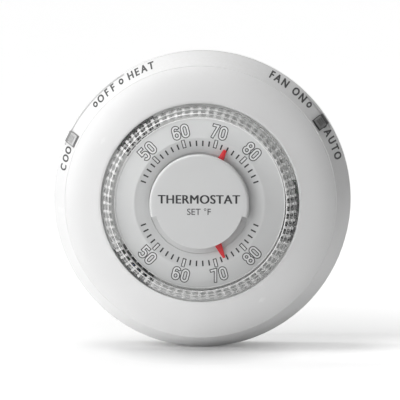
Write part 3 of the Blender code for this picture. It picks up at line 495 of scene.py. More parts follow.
def joined(name, pieces, look):
    """Several pieces as one mesh, each keeping its own closed surface."""
    shape = bmesh.new()
    for piece in pieces:
        shape.from_mesh(piece.data)
        bpy.data.objects.remove(piece, do_unlink=True)
    mesh = bpy.data.meshes.new(name)
    shape.to_mesh(mesh)
    shape.free()
    return add_object(name, mesh, look)


def settle(piece, body, nodes=(), slot=None):
    """Hangs a finished piece on its body and hides the pieces of the frame it stands for."""
    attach(piece, body)
    if nodes:
        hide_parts(*nodes)
    return piece


# ---------------------------------------------------------------- geometry node trees


def geometry_tree(name, inputs):
    tree = bpy.data.node_groups.new(name, "GeometryNodeTree")
    tree.interface.new_socket("Geometry", in_out="INPUT", socket_type="NodeSocketGeometry")
    for socket, kind, value in inputs:
        made = tree.interface.new_socket(socket, in_out="INPUT", socket_type=kind)
        if value is not None:
            made.default_value = value
    tree.interface.new_socket("Geometry", in_out="OUTPUT", socket_type="NodeSocketGeometry")
    return tree, tree.nodes.new("NodeGroupInput"), tree.nodes.new("NodeGroupOutput")


def end_tree(tree, source, result, geometry):
    """Makes real what a tree has built, and gives it its material."""
    real = add_node(tree, "GeometryNodeRealizeInstances", Geometry=geometry)
    painted = add_node(
        tree, "GeometryNodeSetMaterial", Geometry=real.outputs[0], Material=source.outputs["Material"]
    )
    tree.links.new(painted.outputs[0], result.inputs[0])
    return tree


def build_round_tree():
    """Copies what it is given round the dial's axis, clockwise."""
    tree, source, result = geometry_tree(
        "spread_round_dial",
        (
            ("Count", "NodeSocketInt", 12),
            ("First Angle", "NodeSocketFloat", 0.0),
            ("Angle Step", "NodeSocketFloat", 30.0),
            ("Material", "NodeSocketMaterial", None),
        ),
    )
    line = add_node(tree, "GeometryNodeMeshLine", Count=source.outputs["Count"], Offset=(0.0, 0.0, 0.0))
    number = tree.nodes.new("GeometryNodeInputIndex")
    turn = maths(tree, "MULTIPLY", number.outputs[0], source.outputs["Angle Step"])
    turn = maths(tree, "ADD", turn, source.outputs["First Angle"])
    turn = maths(tree, "RADIANS", turn)
    axis = add_node(tree, "ShaderNodeCombineXYZ", Y=turn)
    copies = add_node(
        tree,
        "GeometryNodeInstanceOnPoints",
        Points=line.outputs[0],
        Instance=source.outputs["Geometry"],
        Rotation=axis.outputs[0],
    )
    return end_tree(tree, source, result, copies.outputs[0])


def build_row_tree():
    """Copies what it is given along a straight row."""
    tree, source, result = geometry_tree(
        "spread_in_row",
        (
            ("Count", "NodeSocketInt", 4),
            ("Start", "NodeSocketVector", (0.0, 0.0, 0.0)),
            ("Pitch", "NodeSocketVector", (0.0, 0.0, 0.001)),
            ("Material", "NodeSocketMaterial", None),
        ),
    )
    line = add_node(
        tree,
        "GeometryNodeMeshLine",
        Count=source.outputs["Count"],
        Start_Location=source.outputs["Start"],
        Offset=source.outputs["Pitch"],
    )
    copies = add_node(
        tree, "GeometryNodeInstanceOnPoints", Points=line.outputs[0], Instance=source.outputs["Geometry"]
    )
    return end_tree(tree, source, result, copies.outputs[0])


def build_rib_tree():
    """Presses grooves into a ring, as deep and as wide as its points say."""
    tree, source, result = geometry_tree(
        "press_ribs",
        (
            ("Ribs", "NodeSocketInt", 72),
            ("Phase", "NodeSocketFloat", 0.0),
            ("Material", "NodeSocketMaterial", None),
        ),
    )
    place = tree.nodes.new("GeometryNodeInputPosition")
    parts = add_node(tree, "ShaderNodeSeparateXYZ", Vector=place.outputs[0])
    turn = maths(tree, "ARCTAN2", parts.outputs["X"], parts.outputs["Z"])
    share = maths(tree, "DIVIDE", turn, 2 * math.pi)
    share = maths(tree, "ADD", share, source.outputs["Phase"])
    cell = maths(tree, "FRACT", maths(tree, "MULTIPLY", share, source.outputs["Ribs"]))
    off_centre = maths(tree, "ABSOLUTE", maths(tree, "SUBTRACT", cell, 0.5))
    depth = add_node(tree, "GeometryNodeInputNamedAttribute", {"data_type": "FLOAT"}, Name="groove_depth")
    width = add_node(tree, "GeometryNodeInputNamedAttribute", {"data_type": "FLOAT"}, Name="groove_width")
    inside = maths(tree, "LESS_THAN", off_centre, maths(tree, "MULTIPLY", width.outputs[0], 0.5))
    sink = maths(tree, "MULTIPLY", maths(tree, "MULTIPLY", inside, depth.outputs[0]), -1.0)
    way = tree.nodes.new("GeometryNodeInputNormal")
    push = add_node(tree, "ShaderNodeVectorMath", {"operation": "SCALE"}, i0=way.outputs[0], Scale=sink)
    moved = add_node(
        tree, "GeometryNodeSetPosition", Geometry=source.outputs["Geometry"], Offset=push.outputs[0]
    )
    return end_tree(tree, source, result, moved.outputs[0])


def build_coil_tree():
    """Winds a flat strip into a spiral on edge."""
    tree, source, result = geometry_tree(
        "wind_strip",
        (
            ("Turns", "NodeSocketFloat", 3.0),
            ("Inner Radius", "NodeSocketFloat", 0.0022),
            ("Outer Radius", "NodeSocketFloat", 0.0078),
            ("Width", "NodeSocketFloat", 0.004),
            ("Thickness", "NodeSocketFloat", 0.0004),
            ("Level", "NodeSocketFloat", 0.023),
            ("Material", "NodeSocketMaterial", None),
        ),
    )
    spiral = add_node(
        tree,
        "GeometryNodeCurveSpiral",
        Resolution=64,
        Rotations=source.outputs["Turns"],
        Start_Radius=source.outputs["Inner Radius"],
        End_Radius=source.outputs["Outer Radius"],
        Height=0.0,
    )
    section = add_node(
        tree,
        "GeometryNodeCurvePrimitiveQuadrilateral",
        Width=source.outputs["Thickness"],
        Height=source.outputs["Width"],
    )
    strip = add_node(
        tree,
        "GeometryNodeCurveToMesh",
        Curve=spiral.outputs[0],
        Profile_Curve=section.outputs[0],
        Fill_Caps=True,
    )
    back = add_node(tree, "ShaderNodeCombineXYZ", Y=maths(tree, "MULTIPLY", source.outputs["Level"], -1.0))
    stood = add_node(
        tree,
        "GeometryNodeTransform",
        Geometry=strip.outputs[0],
        Translation=back.outputs[0],
        Rotation=(math.radians(90), 0.0, 0.0),
    )
    return end_tree(tree, source, result, stood.outputs[0])


SPREAD_ROUND = build_round_tree()
SPREAD_IN_ROW = build_row_tree()
PRESS_RIBS = build_rib_tree()
WIND_STRIP = build_coil_tree()


def run_tree(piece, tree, look, name, **values):
    """Runs a geometry node tree on a piece and keeps the result as a plain mesh."""
    step = piece.modifiers.new("make", "NODES")
    step.node_group = tree
    named = {item.name: item.identifier for item in tree.interface.items_tree if item.in_out == "INPUT"}
    for key, value in values.items():
        step[named[key.replace("_", " ")]] = value
    step[named["Material"]] = look
    bpy.context.view_layer.update()
    graph = bpy.context.evaluated_depsgraph_get()
    mesh = bpy.data.meshes.new_from_object(piece.evaluated_get(graph))
    bpy.data.objects.remove(piece, do_unlink=True)
    mesh.name = name
    return add_object(name, mesh, look)


# ---------------------------------------------------------------- front cover


def dome(share):
    """A point of the cover's face: an even fall from the lip that rolls over towards the crease."""
    radius = LIP_RADIUS + share * (CREASE_RADIUS - LIP_RADIUS)
    fall = (1 - DOME_ROLL) * share + DOME_ROLL * share**DOME_ROLL_POWER
    return radius, LIP_LEVEL + (CREASE_LEVEL - LIP_LEVEL) * fall


def bevel_radius(level):
    share = (level - BEVEL_FOOT) / (CREASE_LEVEL - BEVEL_FOOT)
    return CASE_RADIUS + share * (CREASE_RADIUS - CASE_RADIUS)


COVER_SKIN = 1.6 * MM
dome_points = [dome(i / 32) for i in range(32)]
cover_profile = [
    (WELL_RADIUS, LIP_LEVEL - 1.2 * MM, 0.1 * MM),
    (WELL_RADIUS - 0.22 * MM, LIP_LEVEL - 0.7 * MM, 0.15 * MM),
    (WELL_RADIUS - 0.15 * MM, LIP_LEVEL - 0.02 * MM, 0.3 * MM),
    *[(radius, level, 0.0) for radius, level in dome_points],
    (CREASE_RADIUS - 0.22 * MM, CREASE_LEVEL - 0.02 * MM, 0.08 * MM),
    (CREASE_RADIUS, CREASE_LEVEL + 0.02 * MM, 0.12 * MM),
    (CASE_RADIUS, BEVEL_FOOT, 0.6 * MM),
    (CASE_RADIUS, COVER_FOOT, 0.25 * MM),
    (CASE_RADIUS - CASE_WALL, COVER_FOOT, 0.2 * MM),
    (CASE_RADIUS - CASE_WALL, BEVEL_FOOT, 0.5 * MM),
    *[(radius - 0.5 * MM, level - COVER_SKIN, 0.0) for radius, level in reversed(dome_points[8::4])],
    (WELL_RADIUS + 1.2 * MM, 28.9 * MM, 0.3 * MM),
    (WELL_RADIUS + 1.2 * MM, 25.6 * MM, 0.2 * MM),
    (13.6 * MM, 25.6 * MM, 0.2 * MM),
    (13.6 * MM, 26.6 * MM, 0.2 * MM),
    (WELL_RADIUS, 26.6 * MM, 0.2 * MM),
]
cover = lathe("cover_shell", filleted(cover_profile, 5), COVER_WHITE, 288)
SLOT_BACK, SLOT_FRONT = 17.48 * MM, 18.52 * MM
SYSTEM_SLOT = (-68.4, -31.8)
FAN_SLOT = (44.9, 60.5)
cover_tools = [
    slab("tool", sector_outline(40.9 * MM, 47 * MM, *ends), SLOT_BACK, SLOT_FRONT, BLACK)
    for ends in (SYSTEM_SLOT, FAN_SLOT)
]
# Windows in the ledge under the dark pads, so that the painted shade shows through the ring.
for angle in (90, 226, 316):
    outline = sector_outline(WELL_RADIUS - 2.9 * MM, WELL_RADIUS - 0.3 * MM, angle - 13, angle + 13)
    cover_tools.append(slab("tool", outline, 25.2 * MM, 27.0 * MM, BLACK))
cover = boolean(cover, cover_tools)
settle(cover, "head", ["front_cover"], "cover_white")

# Black toothed pads under the ring: painted shade that makes the dark patches seen through it.
DARK_PATCH_STARTS = (302, 212, 85)
PAD_TEETH = 6
TOOTH_STEP = 5
dark_patch_pads = []
for start in DARK_PATCH_STARTS:
    for i in range(PAD_TEETH):
        first = start + TOOTH_STEP * i
        inner = WELL_RADIUS - (6.4 * MM if i % 2 else 5.9 * MM)
        outline = sector_outline(inner, WELL_RADIUS - 0.35 * MM, first, first + 3.9, 1.3)
        dark_patch_pads.append(slab("pad", outline, 26.62 * MM, 27.2 * MM, BLACK, 0.08 * MM))
settle(joined("dial_dark_patch_pads", dark_patch_pads, BLACK), "head")

# ---------------------------------------------------------------- scale plate


def scale_level(radius):
    """The height of the scale plate's face, with its soft crest."""
    if radius < CREST_RADIUS:
        share = (radius - PIT_RADIUS) / (CREST_RADIUS - PIT_RADIUS)
        line = SCALE_STEP_LEVEL + (CREST_LEVEL - SCALE_STEP_LEVEL) * share
    else:
        share = (radius - CREST_RADIUS) / (SCALE_RADIUS - CREST_RADIUS)
        line = CREST_LEVEL + (SCALE_EDGE_LEVEL - CREST_LEVEL) * share
    near = (radius - CREST_RADIUS) / (2.2 * MM)
    return line - 0.16 * MM * math.exp(-near * near)


plate_face = [PIT_RADIUS + (SCALE_RADIUS - 0.35 * MM - PIT_RADIUS) * i / 30 for i in range(31)]
plate_profile = [
    (1.2 * MM, PIT_LEVEL, 0.0),
    (PIT_RADIUS - 0.02 * MM, PIT_LEVEL, 0.15 * MM),
    *[(radius, scale_level(radius), 0.0) for radius in plate_face],
    (SCALE_RADIUS, SCALE_EDGE_LEVEL - 0.1 * MM, 0.2 * MM),
    (SCALE_RADIUS, 31.4 * MM, 0.1 * MM),
    (CREST_RADIUS, 31.9 * MM, 0.3 * MM),
    (PIT_RADIUS, 31.4 * MM, 0.2 * MM),
    (8.6 * MM, 31.4 * MM, 0.1 * MM),
    (8.6 * MM, 28.5 * MM, 0.2 * MM),
    (7.4 * MM, 28.5 * MM, 0.2 * MM),
    (7.4 * MM, 31.4 * MM, 0.1 * MM),
    (1.2 * MM, 31.4 * MM, 0.0),
]
plate = lathe("scale_disc", filleted(plate_profile, 4), SCALE_GREY, 192)
plate = boolean(
    plate, [slab("tool", sector_outline(11.15 * MM, 12.85 * MM, -83, 83), 31.1 * MM, 32.8 * MM, BLACK)]
)
settle(plate, "head", ["scale_plate"], "scale_grey")

# A thin raised bead round the plate's edge, white where the plate is grey: its lighter colour is a painted
# highlight line.
BEAD_WIDTH = 0.34 * MM
BEAD_RISE = 0.3 * MM
BEAD_OUTER = SCALE_RADIUS - 0.01 * MM
bead_profile = [
    (SCALE_RADIUS - BEAD_WIDTH, SCALE_EDGE_LEVEL + BEAD_RISE, 0.1 * MM),
    (BEAD_OUTER, SCALE_EDGE_LEVEL + BEAD_RISE, 0.1 * MM),
    (BEAD_OUTER, SCALE_EDGE_LEVEL - BEAD_RISE, 0.05 * MM),
    (SCALE_RADIUS - BEAD_WIDTH, SCALE_EDGE_LEVEL - BEAD_RISE, 0.05 * MM),
]
settle(lathe("scale_rim_highlight", filleted(bead_profile, 3), COVER_WHITE, 192), "head")

# ---------------------------------------------------------------- centre cap
CUTOUT_RADIUS = 13.3 * MM
CUTOUT_HALF_ANGLE = 75
CAP_SKIRT_LEVEL = 35.0 * MM
CAP_SAG = 0.3 * MM


def cap_level(radius):
    """The gentle crown of the cap: how high its face stands at a radius."""
    return CAP_TOP - CAP_SAG * (radius / CAP_RADIUS) ** 2


cap_profile = [
    *[(max(0.05, step) * MM, cap_level(step * MM), 0.0) for step in range(14)],
    (CAP_RADIUS, cap_level(CAP_RADIUS), 1.1 * MM),
    (CAP_RADIUS, CAP_SKIRT_LEVEL, 0.3 * MM),
    (CAP_RADIUS - 1.4 * MM, CAP_SKIRT_LEVEL, 0.2 * MM),
    (CAP_RADIUS - 1.4 * MM, CAP_TOP - 1.5 * MM, 0.3 * MM),
    (0.05 * MM, CAP_TOP - 1.5 * MM, 0.0),
]
cap = lathe("centre_cap_shell", filleted(cap_profile, 8), CAP_GREY, 192)
notch = sector_outline(CUTOUT_RADIUS, 17 * MM, 180 - CUTOUT_HALF_ANGLE, 180 + CUTOUT_HALF_ANGLE)
cap = boolean(cap, [slab("tool", notch, 34 * MM, 39 * MM, BLACK)])
foot_profile = [
    (1.1 * MM, 32.7 * MM, 0.15 * MM),
    (1.1 * MM, 36.7 * MM, 0.0),
    (0.02 * MM, 36.7 * MM, 0.0),
    (0.02 * MM, 32.7 * MM, 0.0),
]
feet = []
for angle in (0, 82, -82):
    foot = lathe("foot", filleted(foot_profile, 2), CAP_GREY, 24)
    foot.data.transform(Matrix.Translation(face_point(8.4 * MM, angle, 0)))
    feet.append(foot)
cap = boolean(cap, feet, "UNION")
settle(cap, "head", ["centre_cap"], "cap_grey")

# ---------------------------------------------------------------- print
FILM_THICKNESS = 0.03 * MM


def on_plate(radius_shift, angle, lower, lift):
    """Where a point of the print goes: x to the reader's right, y up, laid on the scale plate's face."""
    turn = math.radians(180 - angle if lower else angle)
    way = -1 if lower else 1

    def place(x, y):
        out = radius_shift + way * y
        east = out * math.sin(turn) + way * x * math.cos(turn)
        north = out * math.cos(turn) - way * x * math.sin(turn)
        return to_room(east, north, scale_level(math.hypot(east, north)) + lift)

    return place


def film(name, faces, place, look):
    """Flat printed shapes, given as lists of (x, y) corners, laid on a surface as a thin closed layer."""
    shape = bmesh.new()
    for face in faces:
        shape.faces.new([shape.verts.new(place(x, y)) for x, y in face])
    bmesh.ops.remove_doubles(shape, verts=shape.verts, dist=1e-7)
    bmesh.ops.recalc_face_normals(shape, faces=shape.faces)
    for face in shape.faces:
        face.normal_update()
        if face.normal.y > 0:
            face.normal_flip()
    bmesh.ops.solidify(shape, geom=shape.faces[:], thickness=FILM_THICKNESS)
    return finish_mesh(name, shape, look)


LONGEST_STEP = 0.45 * MM


def divided(points, closed):
    """The same path with points no further apart than the longest step, so it follows the plate's curve."""
    result = []
    count = len(points)
    for i in range(count if closed else count - 1):
        start, end = points[i], points[(i + 1) % count]
        parts = max(1, math.ceil((end - start).length / LONGEST_STEP))
        result += [start.lerp(end, j / parts) for j in range(parts)]
    return result if closed else result + [points[-1]]


def ribbon_faces(path, width, closed=False):
    """The faces of a strip of even width along a path, with mitred corners."""
    points = divided([Vector(point) for point in path], closed)
    count = len(points)
    left, right = [], []
    for i, point in enumerate(points):
        before = points[i - 1] if closed or i > 0 else None
        after = points[(i + 1) % count] if closed or i < count - 1 else None
        one = (point - before).normalized() if before is not None else (after - point).normalized()
        two = (after - point).normalized() if after is not None else one
        side = Vector((-(one + two).y, (one + two).x)).normalized()
        reach = width / 2 / max(0.45, side.dot(Vector((-one.y, one.x))))
        left.append(point + side * reach)
        right.append(point - side * reach)
    last = count if closed else count - 1
    return [
        [left[i], left[(i + 1) % count], right[(i + 1) % count], right[i]] for i in range(last)
    ]


def bend(centre, radius_x, radius_y, start, end, steps=7):
    """Points on an arc, in degrees from the right, anticlockwise."""
    result = []
    for i in range(steps + 1):
        turn = math.radians(start + (end - start) * i / steps)
        result.append((centre[0] + radius_x * math.cos(turn), centre[1] + radius_y * math.sin(turn)))
    return result


NUMERAL_HEIGHT = 4.15 * MM
NUMERAL_STROKE = 0.78 * MM
NUMERAL_LINE = 0.26 * MM
NUMERAL_ADVANCE = 2.75 * MM
INK_LIFT = 0.03 * MM
FILLING_LIFT = 0.055 * MM
HALF = (NUMERAL_HEIGHT - NUMERAL_STROKE) / 2
SIDE = 0.84 * MM


def stadium(half_width, half_height, middle=0.0):
    return (
        bend((0, middle + half_height - half_width), half_width, half_width, 0, 180)
        + bend((0, middle - half_height + half_width), half_width, half_width, 180, 360)
    )


STROKES = {
    "0": [(stadium(SIDE, HALF), True)],
    "5": [
        (
            [(SIDE, HALF), (-SIDE * 0.92, HALF), (-SIDE * 0.92, 0.12 * HALF)]
            + bend((0, -0.22 * HALF), SIDE, 0.42 * HALF, 130, 0, 6)
            + bend((0, -HALF + SIDE * 0.95), SIDE, SIDE * 0.95, 0, -165, 8),
            False,
        )
    ],
    "6": [
        (stadium(SIDE, 0.56 * HALF, -0.44 * HALF), True),
        ([(-SIDE, -0.3 * HALF)] + bend((0, HALF - SIDE), SIDE, SIDE, 180, 15, 8), False),
    ],
    "7": [([(-SIDE, HALF), (SIDE, HALF), (-SIDE * 0.25, -HALF - NUMERAL_STROKE / 2)], False)],
    "8": [
        (stadium(SIDE * 0.92, 0.5 * HALF, 0.5 * HALF), True),
        (stadium(SIDE, 0.52 * HALF, -0.48 * HALF), True),
    ],
}


def numeral_films(words, place_for, name):
    """The dark outline and the white filling of an outlined number."""
    made = []
    for part, width, lift, look in (
        ("outline", NUMERAL_STROKE + NUMERAL_LINE, INK_LIFT, INK),
        ("filling", NUMERAL_STROKE - NUMERAL_LINE, FILLING_LIFT, WHITE_INK),
    ):
        for i, figure in enumerate(words):
            shift = (i - (len(words) - 1) / 2) * NUMERAL_ADVANCE
            for j, (path, closed) in enumerate(STROKES[figure]):
                run = list(path)
                if not closed:
                    end = Vector(run[-1]) - Vector(run[-2])
                    start = Vector(run[0]) - Vector(run[1])
                    reach = NUMERAL_LINE / 2 if part == "outline" else -NUMERAL_LINE / 2
                    run[-1] = tuple(Vector(run[-1]) + end.normalized() * reach)
                    run[0] = tuple(Vector(run[0]) + start.normalized() * reach)
                moved = [(x + shift, y) for x, y in run]
                faces = ribbon_faces(moved, width, closed)
                made.append((part, film(f"{name}_{part}", faces, place_for(lift + j * 0.003 * MM), look)))
    return made


def tick_faces(width, length, steps=4):
    return [
        [
            (-width / 2, length * (i / steps - 0.5)),
            (width / 2, length * (i / steps - 0.5)),
            (width / 2, length * ((i + 1) / steps - 0.5)),
            (-width / 2, length * ((i + 1) / steps - 0.5)),
        ]
        for i in range(steps)
    ]


TICK_RADIUS = 18.15 * MM
BOX_RADIUS = 18.55 * MM
NUMERAL_RADIUS = 22.25 * MM
outlines, fillings = [], []
for lower in (False, True):
    for words, angle in (("50", -45), ("60", -15), ("70", 15), ("80", 45)):
        films = numeral_films(
            words, lambda lift, a=angle, b=lower: on_plate(NUMERAL_RADIUS, a, b, lift), f"numeral_{words}"
        )
        outlines += [piece for part, piece in films if part == "outline"]
        fillings += [piece for part, piece in films if part == "filling"]
for middle in (0, 180):
    tick = film("tick", tick_faces(0.44 * MM, 1.65 * MM), on_plate(TICK_RADIUS, 0, False, INK_LIFT), INK)
    four = run_tree(tick, SPREAD_ROUND, INK, "tick_group", Count=4, First_Angle=0.0, Angle_Step=6.0)
    outlines.append(
        run_tree(four, SPREAD_ROUND, INK, "ticks", Count=5, First_Angle=middle - 69.0, Angle_Step=30.0)
    )
    for width, length, lift, look, kept in (
        (1.15 * MM, 2.6 * MM, INK_LIFT, INK, outlines),
        (0.62 * MM, 2.07 * MM, FILLING_LIFT, WHITE_INK, fillings),
    ):
        mark = film("mark", tick_faces(width, length, 8), on_plate(BOX_RADIUS, 0, False, lift), look)
        kept.append(
            run_tree(mark, SPREAD_ROUND, look, "marks", Count=4, First_Angle=middle - 45.0, Angle_Step=30.0)
        )
settle(joined("scale_print_dark", outlines, INK), "head")
settle(joined("scale_print_white", fillings, WHITE_INK), "head")


def letter_mesh(words, height, spacing=1.0):
    """Letters as a flat filled mesh of a given capital height, centred on their own middle."""
    curve = bpy.data.curves.new("letters", "FONT")
    curve.body = words
    curve.size = 1.0
    curve.align_x = "CENTER"
    curve.space_character = spacing
    curve.resolution_u = 6
    piece = bpy.data.objects.new("letters", curve)
    bpy.context.scene.collection.objects.link(piece)
    bpy.context.view_layer.update()
    mesh = bpy.data.meshes.new_from_object(piece.evaluated_get(bpy.context.evaluated_depsgraph_get()))
    bpy.data.objects.remove(piece, do_unlink=True)
    low = min(vertex.co.y for vertex in mesh.vertices)
    high = max(vertex.co.y for vertex in mesh.vertices)
    wide = [vertex.co.x for vertex in mesh.vertices]
    middle = Vector(((min(wide) + max(wide)) / 2, (low + high) / 2, 0))
    factor = height / (high - low)
    mesh.transform(Matrix.Scale(factor, 4) @ Matrix.Translation(-middle))
    return mesh


def printed_letters(mesh, place, look, name):
    """Lays a flat letter mesh on a surface as a thin closed layer."""
    shape = bmesh.new()
    shape.from_mesh(mesh)
    bmesh.ops.remove_doubles(shape, verts=shape.verts, dist=1e-7)
    bottom = [vertex for vertex in shape.verts]
    grown = bmesh.ops.extrude_face_region(shape, geom=shape.faces[:])
    top = [item for item in grown["geom"] if isinstance(item, bmesh.types.BMVert)]
    for vertex in bottom:
        vertex.co = place(vertex.co.x, vertex.co.y, 0.0)
    for vertex in top:
        vertex.co = place(vertex.co.x, vertex.co.y, FILM_THICKNESS)
    return finish_mesh(name, shape, look)


BEVEL_RUN = math.hypot(CASE_RADIUS - CREASE_RADIUS, CREASE_LEVEL - BEVEL_FOOT)
BEVEL_STRETCH = BEVEL_RUN / (CASE_RADIUS - CREASE_RADIUS)
BEVEL_OUT = Vector((CASE_RADIUS - CREASE_RADIUS, BEVEL_FOOT - CREASE_LEVEL)) / BEVEL_RUN
BEVEL_FACING = Vector((-BEVEL_OUT.y, BEVEL_OUT.x))
LETTER_NUDGE = (0.25 * MM, 0.6 * MM)
RIM_LIFT = 0.012 * MM


def on_bevel(angle, radius):
    """Where a point of the rim lettering goes, with its tops towards the wall."""
    turn = math.radians(angle)
    east = radius * math.sin(turn) + LETTER_NUDGE[0]
    north = radius * math.cos(turn) + LETTER_NUDGE[1]
    angle, radius = math.degrees(math.atan2(east, north)), math.hypot(east, north)
    share = (radius - CREASE_RADIUS) / (CASE_RADIUS - CREASE_RADIUS)
    level = CREASE_LEVEL + (BEVEL_FOOT - CREASE_LEVEL) * share

    def place(x, y, height):
        out = radius + BEVEL_OUT.x * y * BEVEL_STRETCH + BEVEL_FACING.x * (RIM_LIFT + height)
        up = level + BEVEL_OUT.y * y * BEVEL_STRETCH + BEVEL_FACING.y * (RIM_LIFT + height)
        return face_point(out, angle + math.degrees(x / radius), up)

    return place


RIM_RADIUS = 43.0 * MM
RIM_LETTER = 1.9 * MM
RIM_WEIGHT = 0.1 * MM
RIM_LETTERS = (
    ("C", -77.4), ("O", -73.7), ("O", -70.3),
    ("O", -45.5), ("F", -42.0), ("F", -38.9),
    ("H", -30.3), ("E", -27.3), ("A", -24.3), ("T", -21.1),
    ("F", 29.5), ("A", 32.2), ("N", 35.7),
    ("O", 41.2), ("N", 44.9),
    ("A", 62.2), ("U", 65.7), ("T", 69.0), ("O", 72.3),
)
RIM_STOPS = (-48.7, -34.8, 48.7, 58.9)
rim_print = []
for words, angle in RIM_LETTERS:
    mesh = letter_mesh(words, RIM_LETTER)
    place = on_bevel(angle, RIM_RADIUS)
    for i, (right, up) in enumerate(((-1, -0.4), (1, -0.4), (-1, 0.4), (1, 0.4))):

        def nudged(x, y, height, right=right, up=up, i=i, place=place):
            return place(x + right * RIM_WEIGHT, y + up * RIM_WEIGHT, height + i * 0.002 * MM)

        rim_print.append(printed_letters(mesh, nudged, RIM_INK, "rim_letter"))
for angle in RIM_STOPS:
    faces = ribbon_faces(bend((0, 0), 0.58 * MM, 0.58 * MM, 0, 360 - 15, 23), 0.44 * MM, True)
    place = on_bevel(angle, RIM_RADIUS)
    rim_print.append(film("rim_stop", faces, lambda x, y, p=place: p(x, y, RIM_LIFT), RIM_INK))
settle(joined("rim_print", rim_print, RIM_INK), "head")

CAP_INK = printed_ink("cap_ink", (0.055, 0.055, 0.06))


def on_cap(x_shift, y_shift):
    def place(x, y, height):
        east, north = x + x_shift, y + y_shift
        return to_room(east, north, cap_level(math.hypot(east, north)) + 0.008 * MM + height)

    return place


CAP_WEIGHT = 0.11 * MM
cap_print = []
for shift in (-CAP_WEIGHT, 0.0, CAP_WEIGHT):
    mesh = letter_mesh("THERMOSTAT", 2.6 * MM, 1.06)
    cap_print.append(printed_letters(mesh, on_cap(shift, 1.6 * MM), CAP_INK, "cap_line"))
mesh = letter_mesh("SET \u00b0F", 2.0 * MM)
cap_print.append(printed_letters(mesh, on_cap(0, -2.1 * MM), CAP_INK, "cap_line"))
settle(joined("cap_print", cap_print, CAP_INK), "head")

# ---------------------------------------------------------------- clear dial ring
RIB_COUNT = 72
RIB_STEPS = 12
# Radius, level, and how deep and how wide the grooves are there.
dial_profile = [
    (RING_INNER, 31.1 * MM, 0.0, 0.0),
    (RING_INNER, 33.0 * MM, 0.0, 0.0),
    (RING_INNER, 35.6 * MM, 0.0, 0.0),
    (RING_INNER, 36.25 * MM, 0.0, 0.0),
    (RING_INNER + 0.10 * MM, 36.5 * MM, 0.0, 0.0),
    (RING_INNER + 0.28 * MM, 36.7 * MM, 0.12 * MM, 0.35),
    (RING_INNER + 0.60 * MM, 36.8 * MM, 0.22 * MM, 0.5),
    (RING_INNER + 0.95 * MM, 36.8 * MM, 0.3 * MM, 0.62),
    (RING_INNER + 1.05 * MM, 36.75 * MM, 0.0, 0.0),
    (RING_INNER + 1.30 * MM, 36.5 * MM, 0.0, 0.0),
    (RING_INNER + 1.40 * MM, 36.3 * MM, 0.45 * MM, 0.5),
    (RING_INNER + 1.75 * MM, 35.3 * MM, 0.5 * MM, 0.5),
    (RING_INNER + 2.15 * MM, 34.1 * MM, 0.5 * MM, 0.5),
    (RING_INNER + 2.18 * MM, 34.0 * MM, 0.0, 0.0),
    (RING_INNER + 2.30 * MM, 33.65 * MM, 0.0, 0.0),
    (RING_INNER + 2.34 * MM, 33.55 * MM, 0.45 * MM, 0.5),
    (RING_INNER + 2.85 * MM, 32.3 * MM, 0.4 * MM, 0.5),
    (RING_INNER + 2.95 * MM, 32.1 * MM, 0.0, 0.0),
    (RING_RADIUS - 0.05 * MM, 31.2 * MM, 0.0, 0.0),
    (RING_RADIUS, 31.0 * MM, 0.0, 0.0),
    (RING_RADIUS, 27.75 * MM, 0.0, 0.0),
    (RING_RADIUS - 0.15 * MM, RING_FOOT, 0.0, 0.0),
    (RING_RADIUS - 1.35 * MM, RING_FOOT, 0.0, 0.0),
    (RING_RADIUS - 1.5 * MM, 27.75 * MM, 0.0, 0.0),
    (RING_RADIUS - 1.5 * MM, 30.1 * MM, 0.0, 0.0),
    (20 * MM, 30.1 * MM, 0.0, 0.0),
    (10.9 * MM, 30.1 * MM, 0.0, 0.0),
    (10.9 * MM, 31.1 * MM, 0.0, 0.0),
    (20 * MM, 31.1 * MM, 0.0, 0.0),
]
columns = RIB_COUNT * RIB_STEPS
shape = lathe("ring", [point[:2] for point in dial_profile], CLEAR, columns, keep=True)
bmesh.ops.recalc_face_normals(shape, faces=shape.faces)
dial_mesh = bpy.data.meshes.new("ring")
shape.verts.ensure_lookup_table()
rows = len(dial_profile)
depths = [dial_profile[i % rows][2] for i in range(len(shape.verts))]
widths = [dial_profile[i % rows][3] for i in range(len(shape.verts))]
shape.to_mesh(dial_mesh)
shape.free()
for attribute, values in (("groove_depth", depths), ("groove_width", widths)):
    dial_mesh.attributes.new(attribute, "FLOAT", "POINT").data.foreach_set("value", values)
dial = add_object("ring", dial_mesh, CLEAR)
dial = run_tree(dial, PRESS_RIBS, CLEAR, "clear_dial_ring", Ribs=RIB_COUNT, Phase=0.5 / RIB_COUNT)
smooth(dial.data, 28)
settle(dial, "setting_dial", ["clear_dial"], "clear_acrylic")

# Painted highlight: the thin bands are light lines along the ring's edges and between its rows; the frosted
# groove floors also paint the light cells seen in the ring.
HIGHLIGHT_BANDS = (3, 4, 8, 13)
FROSTED_HIGHLIGHT_CELLS = (5, 6, 10, 11, 12, 15, 16)
FROST_LIFT = 0.02 * MM


